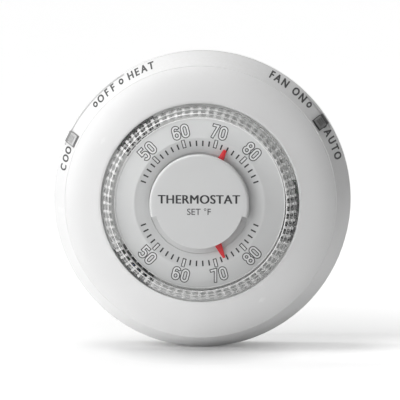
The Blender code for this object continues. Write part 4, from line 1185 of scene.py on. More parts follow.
def frosting_and_highlights(mesh):
    """The matt faces of the ring: the frosted floors of its grooves, which also paint its light cells, and
    the thin bands between them, which are painted highlight lines.
    """
    points = [vertex.co.copy() for vertex in mesh.vertices]
    facing = [vertex.normal.copy() for vertex in mesh.vertices]
    shape = bmesh.new()
    for i in range(columns):
        for row in HIGHLIGHT_BANDS + FROSTED_HIGHLIGHT_CELLS:
            if row in FROSTED_HIGHLIGHT_CELLS:
                wide = min(dial_profile[row][3], dial_profile[row + 1][3]) or dial_profile[row][3]
                cells = [((i + step) / RIB_STEPS + 0.5) % 1 for step in (0, 1)]
                if any(abs(cell - 0.5) >= wide / 2 for cell in cells):
                    continue
            corners = [((i + a) % columns) * rows + row + b for a, b in ((0, 0), (0, 1), (1, 1), (1, 0))]
            face_points = [points[corner] for corner in corners]
            up = (face_points[1] - face_points[0]).cross(face_points[3] - face_points[0])
            if up.y > 0:
                up.negate()
            lift = up.normalized() * FROST_LIFT
            shape.faces.new([shape.verts.new(point + lift) for point in face_points])
    bmesh.ops.remove_doubles(shape, verts=shape.verts, dist=2e-6)
    bmesh.ops.solidify(shape, geom=shape.faces[:], thickness=0.01 * MM)
    return finish_mesh("clear_dial_frosting_and_highlights", shape, FROSTED_HIGHLIGHT)


settle(frosting_and_highlights(dial.data), "setting_dial")

# ---------------------------------------------------------------- pointers


def blade(name, right, angle):
    """A flat pointer, from the right half of its outline, root first."""
    left = [(-x, y) for x, y in right]
    outline = left[:1] + right + left[:0:-1]
    piece = slab(name, outline, POINTER_LEVEL, POINTER_LEVEL + 0.5 * MM, POINTER_RED, 0.12 * MM)
    return turned(piece, angle)


POINTER_TIP = 17.95 * MM
set_blade = blade(
    "set_blade",
    [(0.8 * MM, 11.45 * MM), (0.92 * MM, 15.0 * MM), (0.52 * MM, POINTER_TIP)],
    SET_ANGLE,
)
foot = block(
    "set_foot",
    (-0.7 * MM, -POINTER_LEVEL - 0.2 * MM, 11.5 * MM),
    (0.7 * MM, -31.4 * MM, 12.5 * MM),
    POINTER_RED,
    0.1 * MM,
)
set_piece = boolean(set_blade, [turned(foot, SET_ANGLE)], "UNION")
set_piece.name = "set_pointer_blade"
settle(set_piece, "setting_dial", ["set_pointer"], "pointer_red")

room_blade = blade(
    "room_blade",
    [(1.5 * MM, -1.0 * MM), (1.25 * MM, 8 * MM), (0.98 * MM, 14.2 * MM), (0.36 * MM, POINTER_TIP)],
    ROOM_ANGLE,
)
hub_profile = [
    (0.02 * MM, 33.87 * MM, 0.0),
    (1.76 * MM, 33.87 * MM, 0.1 * MM),
    (1.76 * MM, 34.5 * MM, 0.15 * MM),
    (0.02 * MM, 34.5 * MM, 0.0),
]
hub = lathe("hub", filleted(hub_profile), POINTER_RED, 48)
room_piece = boolean(room_blade, [hub], "UNION")
room_piece.name = "room_pointer_blade"
settle(room_piece, "thermometer", ["room_pointer"], "pointer_red")

# ---------------------------------------------------------------- levers on the rim
TAB_WIDTH = 3.3 * MM
TAB_TOP = 25.4 * MM
TAB_PROUD = 0.86 * MM


def rim_lever(name, angle, half_band, look):
    """A selector lever: a grip over the bevel, a plate through the slot and a band that covers the slot."""
    lean = [
        (CASE_RADIUS, 17.65 * MM),
        (CASE_RADIUS - 0.02 * MM, 19.4 * MM),
        (bevel_radius(TAB_TOP) + TAB_PROUD, TAB_TOP - 0.15 * MM),
        (bevel_radius(TAB_TOP) + 0.55 * MM, TAB_TOP + 0.1 * MM),
        (bevel_radius(TAB_TOP) + 0.36 * MM, TAB_TOP),
        (bevel_radius(19.2 * MM) + 0.36 * MM, 19.2 * MM),
        (bevel_radius(18.6 * MM) + 0.15 * MM, 18.6 * MM),
        (CASE_RADIUS - 0.7 * MM, 18.4 * MM),
        (CASE_RADIUS - 1.1 * MM, 18.36 * MM),
        (CASE_RADIUS - 1.1 * MM, 17.65 * MM),
    ]
    tab = prism("tab", lean, TAB_WIDTH, look, 0.14 * MM, 3)
    grips = []
    for i in range(3):
        level = 21.7 * MM + 1.25 * MM * i
        radius = CASE_RADIUS + (level - 19.4 * MM) / (TAB_TOP - 19.4 * MM) * (
            bevel_radius(TAB_TOP) + TAB_PROUD - CASE_RADIUS
        )
        low = (-TAB_WIDTH / 2 + 0.55 * MM, -level - 0.48 * MM, radius - 0.38 * MM)
        high = (TAB_WIDTH / 2 - 0.55 * MM, -level + 0.48 * MM, radius + 0.5 * MM)
        grips.append(block("grip", low, high, look, 0.08 * MM, 2))
    tab = boolean(tab, grips)
    turned(tab, angle)
    wide = math.degrees(TAB_WIDTH * 0.42 / CASE_RADIUS)
    root = slab(
        "root",
        sector_outline(34.2 * MM, CASE_RADIUS - 0.4 * MM, angle - wide, angle + wide),
        17.62 * MM,
        18.38 * MM,
        look,
        0.08 * MM,
    )
    band = slab(
        "band",
        sector_outline(41.3 * MM, 41.9 * MM, angle - half_band, angle + half_band),
        16.8 * MM,
        19.2 * MM,
        look,
        0.08 * MM,
    )
    lever = boolean(tab, [root, band], "UNION")
    lever.name = name
    return lever


def lever_shadow_outline(name, angle, look):
    """A dark piece under a grip, a little wider than it, which paints the shadow gap round the grip."""

    def under(level, lift):
        return (bevel_radius(level) + lift, level)

    foot = [
        (CASE_RADIUS + 0.05 * MM, 18.75 * MM),
        (CASE_RADIUS + 0.05 * MM, 19.35 * MM),
        under(20.9 * MM, 0.98 * MM),
        under(20.9 * MM, 0.12 * MM),
        under(18.75 * MM, 0.12 * MM),
    ]
    end = TAB_TOP + 0.35 * MM
    pad = [
        under(20.0 * MM, 0.1 * MM),
        under(20.0 * MM, 0.32 * MM),
        under(end, 0.32 * MM),
        under(end, 0.1 * MM),
    ]
    made = []
    for line, width in ((foot, TAB_WIDTH + 0.24 * MM), (pad, TAB_WIDTH + 0.56 * MM)):
        made.append(prism("shadow_outline_part", line, width, look, 0.05 * MM, 2))
    return turned(joined(name, made, look), angle)


# Painted shadow: dark pieces under the grips make the shadow gaps round them.
settle(lever_shadow_outline("system_lever_painted_shadow", SYSTEM_ANGLE, SHADOW_OUTLINE_GREY), "system_selector")
settle(lever_shadow_outline("fan_lever_painted_shadow", FAN_ANGLE, BLACK), "fan_selector")
settle(
    rim_lever("system_selector_lever", SYSTEM_ANGLE, 33.6, LEVER_WHITE),
    "system_selector",
    ["system_lever"],
    "lever_white",
)
settle(
    rim_lever("fan_selector_lever", FAN_ANGLE, 12.0, LEVER_GREY), "fan_selector", ["fan_lever"], "lever_grey"
)

# ---------------------------------------------------------------- rear housing
FLOOR_BACK, FLOOR_FRONT = 10.6 * MM, 12.0 * MM
PARTING_LEVEL = COVER_FOOT - 0.3 * MM
SKIRT_RADIUS = 43.8 * MM
HEADER_X = 27.6 * MM
BOSS_CIRCLE = 38 * MM
housing_profile = [
    (0.02 * MM, FLOOR_FRONT, 0.0),
    (9.0 * MM, FLOOR_FRONT, 0.2 * MM),
    (9.0 * MM, 31.1 * MM, 0.2 * MM),
    (10.5 * MM, 31.1 * MM, 0.2 * MM),
    (10.5 * MM, FLOOR_FRONT, 0.3 * MM),
    (CASE_RADIUS - CASE_WALL, FLOOR_FRONT, 0.4 * MM),
    (CASE_RADIUS - CASE_WALL, PARTING_LEVEL, 0.15 * MM),
    (CASE_RADIUS, PARTING_LEVEL, 0.2 * MM),
    (CASE_RADIUS - 0.4 * MM, 7.75 * MM, 3.0 * MM),
    (SKIRT_RADIUS, 1.2 * MM, 0.5 * MM),
    (SKIRT_RADIUS - 0.3 * MM, 0.6 * MM, 0.15 * MM),
    (42.6 * MM, 0.6 * MM, 0.15 * MM),
    (42.6 * MM, FLOOR_BACK, 0.3 * MM),
    (0.02 * MM, FLOOR_BACK, 0.0),
]
housing = lathe("rear_housing_shell", filleted(housing_profile, 4), HOUSING_WHITE, 256)


def bar(low, high):
    """A plain cutter between two corners given as (right, up, level)."""
    return block("tool", (low[0], -high[2], low[1]), (high[0], -low[2], high[1]), BLACK)


def round_tool(x, y, radius, back, front, sides=32):
    """A round rod between two levels, used to cut or to join."""
    shape = bmesh.new()
    circle = bend((x, y), radius, radius, 0, 360, sides)[:-1]
    rings = [[shape.verts.new(to_room(*point, level)) for point in circle] for level in (back, front)]
    for i in range(sides):
        j = (i + 1) % sides
        shape.faces.new((rings[0][i], rings[0][j], rings[1][j], rings[1][i]))
    shape.faces.new(rings[0])
    shape.faces.new(rings[1])
    return finish_mesh("tool", shape, BLACK)


def stamped_round(tool, count, first, step):
    """One cutter repeated round the dial's axis."""
    return run_tree(tool, SPREAD_ROUND, BLACK, "tools", Count=count, First_Angle=first, Angle_Step=step)


DEEP, SHALLOW = FLOOR_BACK - 1 * MM, FLOOR_FRONT + 1 * MM
housing_tools = []
for side in (-1, 1):
    x = side * HEADER_X
    housing_tools.append(bar((x - 1.9 * MM, -6.6 * MM, DEEP), (x + 1.9 * MM, 6.6 * MM, SHALLOW)))
housing_tools.append(bar((-4.3 * MM, -26.3 * MM, DEEP), (4.3 * MM, -21.7 * MM, SHALLOW)))
hole = round_tool(0, BOSS_CIRCLE, 1.2 * MM, DEEP, SHALLOW)
housing_tools.append(stamped_round(hole, 3, 0.0, 120.0))
for first, low, high in ((-42.0, 28.5 * MM, 35 * MM), (14.0, 28.5 * MM, 35 * MM), (166.0, 30 * MM, 36 * MM)):
    vent = bar((-0.6 * MM, low, DEEP), (0.6 * MM, high, SHALLOW))
    housing_tools.append(stamped_round(vent, 5, first, 7.0))
for first in (148.0, -32.0):
    intake = bar((-1.6 * MM, 42 * MM, 3.4 * MM), (1.6 * MM, 46 * MM, 4.6 * MM))
    housing_tools.append(stamped_round(intake, 9, first, 8.0))
housing = boolean(housing, housing_tools)
ribs = []
for angle in (60, 180, 300):
    low = (-0.4 * MM, -FLOOR_BACK - 0.2 * MM, 13 * MM)
    high = (0.4 * MM, -FLOOR_BACK + 0.9 * MM, 20.5 * MM)
    ribs.append(turned(block("rib", low, high, HOUSING_WHITE, 0.15 * MM), angle))
BACK_RING_RADIUS = 13.5 * MM
back_ring = [
    (BACK_RING_RADIUS, FLOOR_BACK - 0.6 * MM, 0.15 * MM),
    (BACK_RING_RADIUS + 0.8 * MM, FLOOR_BACK - 0.6 * MM, 0.15 * MM),
    (BACK_RING_RADIUS + 0.8 * MM, FLOOR_BACK + 0.3 * MM, 0.0),
    (BACK_RING_RADIUS, FLOOR_BACK + 0.3 * MM, 0.0),
]
ribs.append(lathe("rib", filleted(back_ring, 2), HOUSING_WHITE, 128))
housing = boolean(housing, ribs, "UNION")
settle(housing, "head", ["rear_housing"], "case_white")

# ---------------------------------------------------------------- wall plate
plate_rim = [
    (0.02 * MM, 0.0, 0.0),
    (PLATE_RADIUS, 0.0, 0.3 * MM),
    (PLATE_RADIUS, 4.2 * MM, 0.5 * MM),
    (PLATE_RADIUS - 1.8 * MM, 4.2 * MM, 0.3 * MM),
    (PLATE_RADIUS - 1.8 * MM, 2.4 * MM, 0.3 * MM),
    (0.02 * MM, 2.4 * MM, 0.0),
]
wall_disc = lathe("wall_plate_disc", filleted(plate_rim, 4), PLATE_WHITE, 192)


def slot_outline(x, y, width, height):
    """A slot with round ends, longer across than up."""
    end = height / 2
    reach = width / 2 - end
    right = bend((x + reach, y), end, end, -90, 90, 10)
    left = bend((x - reach, y), end, end, 90, 270, 10)
    return right + left


def raised_rim(x, y, width, height, wall, back, front):
    """A low wall round a slot."""
    around = slot_outline(x, y, width + 2 * wall, height + 2 * wall)
    outer = slab("rim", around, back, front, PLATE_WHITE, 0.12 * MM)
    inner = slab("rim_tool", slot_outline(x, y, width, height), back - 2 * MM, front + 2 * MM, BLACK)
    return boolean(outer, [inner])


SLOT_SIZE = (9 * MM, 4.4 * MM)
SLOT_RISE = 29 * MM
raised = [raised_rim(0, y, *SLOT_SIZE, 1.0 * MM, 2.2 * MM, 3.2 * MM) for y in (-SLOT_RISE, SLOT_RISE)]
for x, y, wide, tall in (
    (0, 2.0 * MM, 27 * MM, 1.0 * MM),
    (0, -8.0 * MM, 20 * MM, 1.0 * MM),
    (0, -20.0 * MM, 24 * MM, 1.0 * MM),
    (-9.5 * MM, -14.0 * MM, 1.0 * MM, 12.9 * MM),
    (9.5 * MM, -14.0 * MM, 1.0 * MM, 12.9 * MM),
):
    low = (x - wide / 2, -3.1 * MM, y - tall / 2)
    high = (x + wide / 2, -2.2 * MM, y + tall / 2)
    raised.append(block("rib", low, high, PLATE_WHITE, 0.15 * MM))
wall_disc = boolean(wall_disc, raised, "UNION")
plate_tools = [bar((-12 * MM, 4.5 * MM, -1 * MM), (12 * MM, 15.5 * MM, 5 * MM))]
for y in (SLOT_RISE, -SLOT_RISE):
    plate_tools.append(slab("tool", slot_outline(0, y, *SLOT_SIZE), -1 * MM, 5 * MM, BLACK))
for first in (30.0, 210.0):
    pocket = slab("tool", sector_outline(31.5 * MM, 38.5 * MM, -9, 9), -1 * MM, 0.9 * MM, BLACK)
    plate_tools.append(stamped_round(pocket, 6, first, 24.0))
gap = bar((-2.5 * MM, 38 * MM, 3.2 * MM), (2.5 * MM, 42 * MM, 6 * MM))
plate_tools.append(stamped_round(gap, 4, 45.0, 90.0))
wall_disc = boolean(wall_disc, plate_tools)
settle(wall_disc, "wall_side", ["wall_plate"], "case_white")


PLATE_PRINT_LEVEL = 2.38 * MM


def on_wall_plate(x_shift, y_shift):
    return lambda x, y, height: to_room(x + x_shift, y + y_shift, PLATE_PRINT_LEVEL + height)


mesh = letter_mesh("UP", 2.6 * MM)
plate_print = [printed_letters(mesh, on_wall_plate(-2.2 * MM, 36.1 * MM), RIM_INK, "mark")]
arrow = bmesh.new()
corners = [(1.2, 34.9), (3.6, 34.9), (2.4, 37.3)]
arrow.faces.new([arrow.verts.new((x * MM, y * MM, 0)) for x, y in corners])
arrow_mesh = bpy.data.meshes.new("arrow")
arrow.to_mesh(arrow_mesh)
arrow.free()
plate_print.append(printed_letters(arrow_mesh, on_wall_plate(0, 0), RIM_INK, "mark"))

# ---------------------------------------------------------------- terminal blocks and their screws
TERMINAL_PITCH = 8.3 * MM
TERMINAL_X = 22.2 * MM
BLOCK_X = 24.8 * MM
BLOCK_BACK, BLOCK_FRONT = 2.7 * MM, 8.4 * MM
TERMINAL_LOOK = moulded_plastic("terminal_block_black", (0.03, 0.03, 0.032), 0.4, grain=0.35)


def turned_screw(name, profile, slots, segments):
    """A screw turned from a profile, with its slots cut."""
    body = lathe(name, filleted(profile, 3), STEEL, segments)
    return boolean(body, [bar(low, high) for low, high in slots])


def terminal_screw():
    """A slotted binding screw on the dial's axis, ready to be set out in a row."""
    profile = [
        (0.01 * MM, 4.6 * MM, 0.0),
        (0.8 * MM, 4.6 * MM, 0.1 * MM),
        (1.0 * MM, 5.0 * MM, 0.1 * MM),
        (1.0 * MM, 9.6 * MM, 0.05 * MM),
        (1.9 * MM, 9.6 * MM, 0.12 * MM),
        (1.9 * MM, 10.3 * MM, 0.3 * MM),
        (0.01 * MM, 10.3 * MM, 0.0),
    ]
    slots = [
        ((-0.22 * MM, -2.2 * MM, 9.85 * MM), (0.22 * MM, 2.2 * MM, 11 * MM)),
        ((-1.0 * MM, -0.2 * MM, 9.75 * MM), (1.0 * MM, 0.2 * MM, 11 * MM)),
    ]
    return turned_screw("screw", profile, slots, 32)


def terminal_clamp():
    """A saddle clamp with a hole and a grooved underside."""
    low, high = (-2.5 * MM, -9.3 * MM, -2.8 * MM), (2.5 * MM, -8.7 * MM, 2.8 * MM)
    saddle = block("clamp", low, high, BRASS, 0.12 * MM)
    tools = [round_tool(0, 0, 1.15 * MM, 8 * MM, 10 * MM, 24)]
    for side in (-1, 1):
        for i in range(3):
            y = side * (1.5 + 0.45 * i) * MM
            tools.append(bar((-2.6 * MM, y - 0.1 * MM, 9.2 * MM), (2.6 * MM, y + 0.1 * MM, 9.6 * MM)))
    return boolean(saddle, tools)


for side, word, words in ((-1, "left", ("R", "C", "W", "Y")), (1, "right", ("G", "O", "B", "E"))):
    body = block(
        f"terminal_block_{word}_body",
        (side * BLOCK_X - 6.5 * MM, -BLOCK_FRONT, -17 * MM),
        (side * BLOCK_X + 6.5 * MM, -BLOCK_BACK, 17 * MM),
        TERMINAL_LOOK,
        0.35 * MM,
    )
    slot_x = side * HEADER_X
    tools = [bar((slot_x - 1.1 * MM, -6.7 * MM, 4.3 * MM), (slot_x + 1.1 * MM, 6.7 * MM, 9 * MM))]
    inner_edge = side * (BLOCK_X - 6.5 * MM)
    for number in range(4):
        y = (number - 1.5) * TERMINAL_PITCH
        tools.append(round_tool(side * TERMINAL_X, y, 1.3 * MM, 4.3 * MM, 9 * MM, 24))
        near = inner_edge - side * 0.5 * MM
        far = inner_edge + side * 1.6 * MM
        tools.append(bar((min(near, far), y - 1.5 * MM, 6.2 * MM), (max(near, far), y + 1.5 * MM, 9 * MM)))
    for number in range(5):
        y = (number - 2) * TERMINAL_PITCH
        x = side * 24.5 * MM
        tools.append(bar((x - 6.2 * MM, y - 0.3 * MM, 7.7 * MM), (x + 6.2 * MM, y + 0.3 * MM, 9 * MM)))
    body = boolean(body, tools)
    settle(body, "wall_side", [f"terminal_block_{word}"], "black_plastic")
    for kind, make, look, slot in (
        ("clamp", terminal_clamp, BRASS, "brass"),
        ("screw", terminal_screw, STEEL, "steel"),
    ):
        row = run_tree(
            make(),
            SPREAD_IN_ROW,
            look,
            f"terminal_{kind}s_{word}",
            Count=4,
            Start=(side * TERMINAL_X, 0.0, -1.5 * TERMINAL_PITCH),
            Pitch=(0.0, 0.0, TERMINAL_PITCH),
        )
        smooth(row.data)
        settle(row, "wall_side", [f"terminal_{kind}_{word}_{n}" for n in (1, 2, 3, 4)], slot)
    for number, letter in enumerate(words):
        y = (1.5 - number) * TERMINAL_PITCH
        place = on_wall_plate(side * 15.6 * MM, y)
        plate_print.append(printed_letters(letter_mesh(letter, 1.9 * MM), place, RIM_INK, "mark"))
settle(joined("wall_plate_print", plate_print, RIM_INK), "wall_side")

# ---------------------------------------------------------------- case screws
def case_screw():
    """A cross-recessed screw that holds the cover to the housing."""
    profile = [
        (0.01 * MM, 20 * MM, 0.0),
        (0.3 * MM, 19.9 * MM, 0.05 * MM),
        (0.8 * MM, 18.9 * MM, 0.1 * MM),
        (0.8 * MM, 10.3 * MM, 0.05 * MM),
        (2.1 * MM, 10.3 * MM, 0.1 * MM),
        (2.1 * MM, 9.6 * MM, 0.4 * MM),
        (1.3 * MM, 9.1 * MM, 0.3 * MM),
        (0.01 * MM, 9.1 * MM, 0.0),
    ]
    slots = [
        ((-1.1 * MM, -0.2 * MM, 8.8 * MM), (1.1 * MM, 0.2 * MM, 9.75 * MM)),
        ((-0.2 * MM, -1.1 * MM, 8.8 * MM), (0.2 * MM, 1.1 * MM, 9.75 * MM)),
    ]
    piece = turned_screw("case_screw", profile, slots, 40)
    piece.data.transform(Matrix.Translation(to_room(0, BOSS_CIRCLE, 0)))
    return piece


case_screws = run_tree(
    case_screw(), SPREAD_ROUND, STEEL, "case_screws", Count=3, First_Angle=0.0, Angle_Step=120.0
)
smooth(case_screws.data)
settle(case_screws, "head", ["case_screw_1", "case_screw_2", "case_screw_3"], "steel")

# ---------------------------------------------------------------- pieces of the frame that stay
BOARD_GREEN = moulded_plastic("board_green", (0.03, 0.16, 0.06), 0.35, grain=0.3)
SLIDER_WHITE = moulded_plastic("slider_white", (0.8, 0.8, 0.78), 0.4)
# What each slot of the frame wears where its piece is carried over.
SLOT_LOOKS = {
    "case_white": HOUSING_WHITE,
    "cover_white": COVER_WHITE,
    "black_plastic": BLACK,
    "brass": BRASS,
    "steel": STEEL,
    "circuit_board": BOARD_GREEN,
    "relay_plastic": BLACK,
    "capacitor_sleeve": BLACK,
    "thermistor_epoxy": BLACK,
    "slider_white": SLIDER_WHITE,
    "clear_acrylic": CLEAR,
    "sleeve_white": SLEEVE_WHITE,
    "contact_copper": COPPER,
    "pointer_red": POINTER_RED,
    "scale_grey": SCALE_GREY,
    "cap_grey": CAP_GREY,
    "bimetal": BIMETAL,
    "lever_white": LEVER_WHITE,
    "lever_grey": LEVER_GREY,
}
for node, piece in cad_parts.items():
    old = piece.data.materials[0].name if piece.data.materials else ""
    look = SLOT_LOOKS.get(old.split(".")[0], HOUSING_WHITE)
    piece.data.materials.clear()
    piece.data.materials.append(look)

# ---------------------------------------------------------------- circuit board
PART_LEVEL = BOARD_FRONT + 0.3 * MM
RELAY_BLUE = moulded_plastic("relay_blue", (0.03, 0.10, 0.30), 0.38, grain=0.25)
CAPACITOR_SLEEVE = moulded_plastic("capacitor_sleeve", (0.02, 0.025, 0.05), 0.25, grain=0.1)
CHIP_BLACK = moulded_plastic("chip_black", (0.022, 0.022, 0.024), 0.5, grain=0.5)
BEAD_BLACK = moulded_plastic("thermistor_epoxy", (0.02, 0.02, 0.02), 0.18, grain=0.05, dust=0.1)
SOLDER = worked_metal("solder", (0.72, 0.72, 0.73), 0.3, (0.55, 0.55, 0.55))


def board_material():
    """Green lacquer over copper lines that run in steps between the parts."""
    made, tree, shader = start_material("board_lacquer")
    place = tree.nodes.new("ShaderNodeTexCoord").outputs["Object"]
    lanes = []
    for turn in (0.0, 90.0):
        turned_place = add_node(
            tree, "ShaderNodeMapping", Vector=place, Rotation=(0.0, math.radians(turn), 0.0)
        )
        broken = add_node(tree, "ShaderNodeTexBrick", Vector=turned_place.outputs["Vector"], Scale=170.0)
        lanes.append(broken.outputs["Fac"])
    stepped = add_node(
        tree, "ShaderNodeTexVoronoi", {"distance": "MANHATTAN", "feature": "F1"}, Vector=place, Scale=230.0
    )
    lines = maths(tree, "SUBTRACT", 0.5, remap(tree, stepped.outputs["Distance"], 0.5, 0.54))
    copper = maths(tree, "MAXIMUM", remap(tree, lines, -0.5, 0.5), lanes[0], clamp=True)
    skin = use_group(tree, MOULDED, Grain_Scale=3000.0)
    green = blend_colour(tree, skin.outputs["Shade"], (0.010, 0.085, 0.030), (0.014, 0.105, 0.038))
    tone = blend_colour(tree, copper, green, (0.035, 0.20, 0.07))
    tree.links.new(tone, shader.inputs["Base Color"])
    sheen = remap(tree, skin.outputs["Sheen"], 0.0, 1.0, 0.22, 0.36)
    tree.links.new(sheen, shader.inputs["Roughness"])
    tree.links.new(bump(tree, copper, 0.5, 0.00003), shader.inputs["Normal"])
    return made


board_profile = [
    (BOARD_RADIUS, BOARD_BACK, 0.1 * MM),
    (BOARD_RADIUS, BOARD_FRONT, 0.1 * MM),
    (10.9 * MM, BOARD_FRONT, 0.1 * MM),
    (10.9 * MM, BOARD_BACK, 0.1 * MM),
]
BOARD_LACQUER = board_material()
board = lathe("board", filleted(board_profile, 2), BOARD_LACQUER, 160)
holes = round_tool(0, 32.0 * MM, 0.8 * MM, BOARD_BACK - 1 * MM, BOARD_FRONT + 1 * MM, 20)
vias = round_tool(0, 30.6 * MM, 0.3 * MM, BOARD_BACK - 1 * MM, BOARD_FRONT + 1 * MM, 10)
board = boolean(
    board, [stamped_round(holes, 4, 57.0, 90.0), stamped_round(vias, 30, 6.0, 12.0)]
)
board.name = "circuit_board_disc"
settle(board, "head", ["circuit_board"], "circuit_board")


def at_board(angle, radius):
    """Where a part stands on the board: its own right, up and level, turned to its angle."""
    return Matrix.Rotation(math.radians(angle), 4, "Y") @ Matrix.Translation((0, 0, radius))


def small_part(name, size, foot, angle, radius, look, bevel=0.15 * MM):
    """A block standing on the board, its sizes across, along the radius and up."""
    wide, deep, tall = size
    piece = block(name, (-wide / 2, -foot - tall, -deep / 2), (wide / 2, -foot, deep / 2), look, bevel)
    piece.data.transform(at_board(angle, radius))
    return piece


INNER_CHIPS = (22, 30, 38, 60, 68, 84, 92, 262, 292, 300, 322, 330, 338)
OUTER_CHIPS = (44, 52, 76, 236, 244, 284, 308, 316)
INNER_CHIP_CIRCLE = 20.5 * MM
OUTER_CHIP_CIRCLE = 28.5 * MM
CHIP_SIZE = (1.6 * MM, 0.8 * MM, 0.5 * MM)
chips = []
for angles, circle in ((INNER_CHIPS, INNER_CHIP_CIRCLE), (OUTER_CHIPS, OUTER_CHIP_CIRCLE)):
    for angle in angles:
        chips.append(small_part("resistor", CHIP_SIZE, BOARD_FRONT, angle, circle, CHIP_BLACK, 0.06 * MM))
settle(joined("board_resistors", chips, CHIP_BLACK), "head")
ends = []
for angle in INNER_CHIPS:
    for side in (-1, 1):
        x = side * 0.95 * MM
        low = (x - 0.2 * MM, -BOARD_FRONT - 0.55 * MM, -0.45 * MM)
        end = block("end", low, (x + 0.2 * MM, -BOARD_FRONT, 0.45 * MM), SOLDER, 0.05 * MM, 2)
        end.data.transform(at_board(angle, INNER_CHIP_CIRCLE))
        ends.append(end)
settle(joined("board_solder", ends, SOLDER), "head")

RELAY_CIRCLE = 25.8 * MM
for number, angle in enumerate((144, 180, 216), 1):
    size = (12 * MM, 9 * MM, 8 * MM)
    relay = small_part(f"relay_{number}_case", size, PART_LEVEL, angle, RELAY_CIRCLE, RELAY_BLUE, 0.4 * MM)
    marks = []
    for y in (-3.2, 3.2):
        low, high = (-5 * MM, (y - 0.2) * MM), (5 * MM, (y + 0.2) * MM)
        mark = bar((*low, PART_LEVEL + 7.8 * MM), (*high, PART_LEVEL + 8.2 * MM))
        mark.data.transform(at_board(angle, RELAY_CIRCLE))
        marks.append(mark)
    relay = boolean(relay, marks)
    settle(relay, "head", [f"relay_{number}"], "relay_plastic")

can_profile = [
    (0.02 * MM, PART_LEVEL, 0.0),
    (2.7 * MM, PART_LEVEL, 0.2 * MM),
    (3.1 * MM, PART_LEVEL + 0.3 * MM, 0.2 * MM),
    (3.1 * MM, PART_LEVEL + 0.9 * MM, 0.2 * MM),
    (2.95 * MM, PART_LEVEL + 1.3 * MM, 0.2 * MM),
    (3.1 * MM, PART_LEVEL + 1.7 * MM, 0.2 * MM),
    (3.1 * MM, PART_LEVEL + 7.0 * MM, 0.4 * MM),
    (2.3 * MM, PART_LEVEL + 7.0 * MM, 0.1 * MM),
    (2.2 * MM, PART_LEVEL + 6.8 * MM, 0.1 * MM),
    (0.02 * MM, PART_LEVEL + 6.8 * MM, 0.0),
]
for number, angle in enumerate((108, 252), 1):
    can = lathe(f"capacitor_{number}_can", filleted(can_profile, 3), CAPACITOR_SLEEVE, 48)
    can.data.transform(at_board(angle, 25.5 * MM))
    settle(can, "head", [f"capacitor_{number}"], "capacitor_sleeve")

CHIP_CIRCLE = 25 * MM
size = (7.0 * MM, 7.0 * MM, 1.2 * MM)
chip = small_part("controller_chip_body", size, PART_LEVEL + 0.1 * MM, 0, CHIP_CIRCLE, CHIP_BLACK)
dimple = round_tool(-2.4 * MM, 27.4 * MM, 0.4 * MM, PART_LEVEL + 1.2 * MM, PART_LEVEL + 2 * MM, 16)
chip = boolean(chip, [dimple])
settle(chip, "head", ["controller_chip"], "black_plastic")
legs = []
for side in range(4):
    leg = block(
        "leg",
        (-2.9 * MM, -PART_LEVEL - 0.6 * MM, 3.4 * MM),
        (-2.65 * MM, -PART_LEVEL - 0.05 * MM, 4.0 * MM),
        SOLDER,
        0.04 * MM,
        1,
    )
    pitch = (0.8 * MM, 0.0, 0.0)
    row = run_tree(leg, SPREAD_IN_ROW, SOLDER, "legs", Count=8, Start=(0.0, 0.0, 0.0), Pitch=pitch)
    turned(row, 90 * side)
    row.data.transform(Matrix.Translation((0, 0, CHIP_CIRCLE)))
    legs.append(row)
settle(joined("controller_chip_legs", legs, SOLDER), "head")

bead_level = PART_LEVEL + 3.6 * MM
BEAD_X = -25 * MM
BEAD_STEPS = 12
thermistor_profile = []
for i in range(BEAD_STEPS + 1):
    turn = math.pi * i / BEAD_STEPS
    level = bead_level - 1.35 * MM * math.cos(turn)
    thermistor_profile.append((max(0.02 * MM, 1.2 * MM * math.sin(turn)), level))
bead = lathe("bead", thermistor_profile, BEAD_BLACK, 32)
bead.data.transform(Matrix.Translation(to_room(BEAD_X, 0, 0)))
wires = []
for side in (-1, 1):
    wires.append(round_tool(BEAD_X + side * 0.6 * MM, 0, 0.3 * MM, PART_LEVEL, bead_level, 12))
bead = boolean(bead, wires, "UNION")
bead.name = "thermistor_bead"
settle(bead, "head", ["thermistor"], "thermistor_epoxy")

# ---------------------------------------------------------------- pins, switch and moving contacts
for side, word in ((-1, "left"), (1, "right")):
    x = side * HEADER_X
    low, high = (x - 1.6 * MM, -12.9 * MM, -6.3 * MM), (x + 1.6 * MM, -9.9 * MM, 6.3 * MM)
    header = block(f"pin_header_{word}_body", low, high, BLACK, 0.2 * MM)
    pins = []
    for number in range(4):
        z = (number - 1.5) * 3.4 * MM
        low = (x - 0.35 * MM, -12.4 * MM, z - 0.35 * MM)
        high = (x + 0.35 * MM, -5.2 * MM, z + 0.35 * MM)
        pins.append(block("pin", low, high, BRASS, 0.16 * MM, 2))
    settle(header, "head", [f"pin_header_{word}"], "black_plastic")
    settle(joined(f"pin_header_{word}_pins", pins, BRASS), "head")

low, high = (-4 * MM, -12.9 * MM, -26 * MM), (4 * MM, -10.0 * MM, -22 * MM)
switch = block("fuel_switch_body", low, high, BLACK, 0.2 * MM)
switch = boolean(switch, [bar((-2.7 * MM, -24.7 * MM, 9.8 * MM), (2.7 * MM, -23.3 * MM, 10.5 * MM))])
settle(switch, "head", ["fuel_switch"], "black_plastic")
low, high = (-2.3 * MM, -9.7 * MM, -24.9 * MM), (-0.1 * MM, -8.6 * MM, -23.1 * MM)
slider = block("fuel_slider_cap", low, high, SLIDER_WHITE, 0.15 * MM)
grooves = []
for i in range(3):
    x = (-1.7 + 0.5 * i) * MM
    grooves.append(bar((x - 0.1 * MM, -25 * MM, 8.4 * MM), (x + 0.1 * MM, -23 * MM, 8.8 * MM)))
slider = boolean(slider, grooves)
settle(slider, "fuel_selector", ["fuel_slider"], "slider_white")

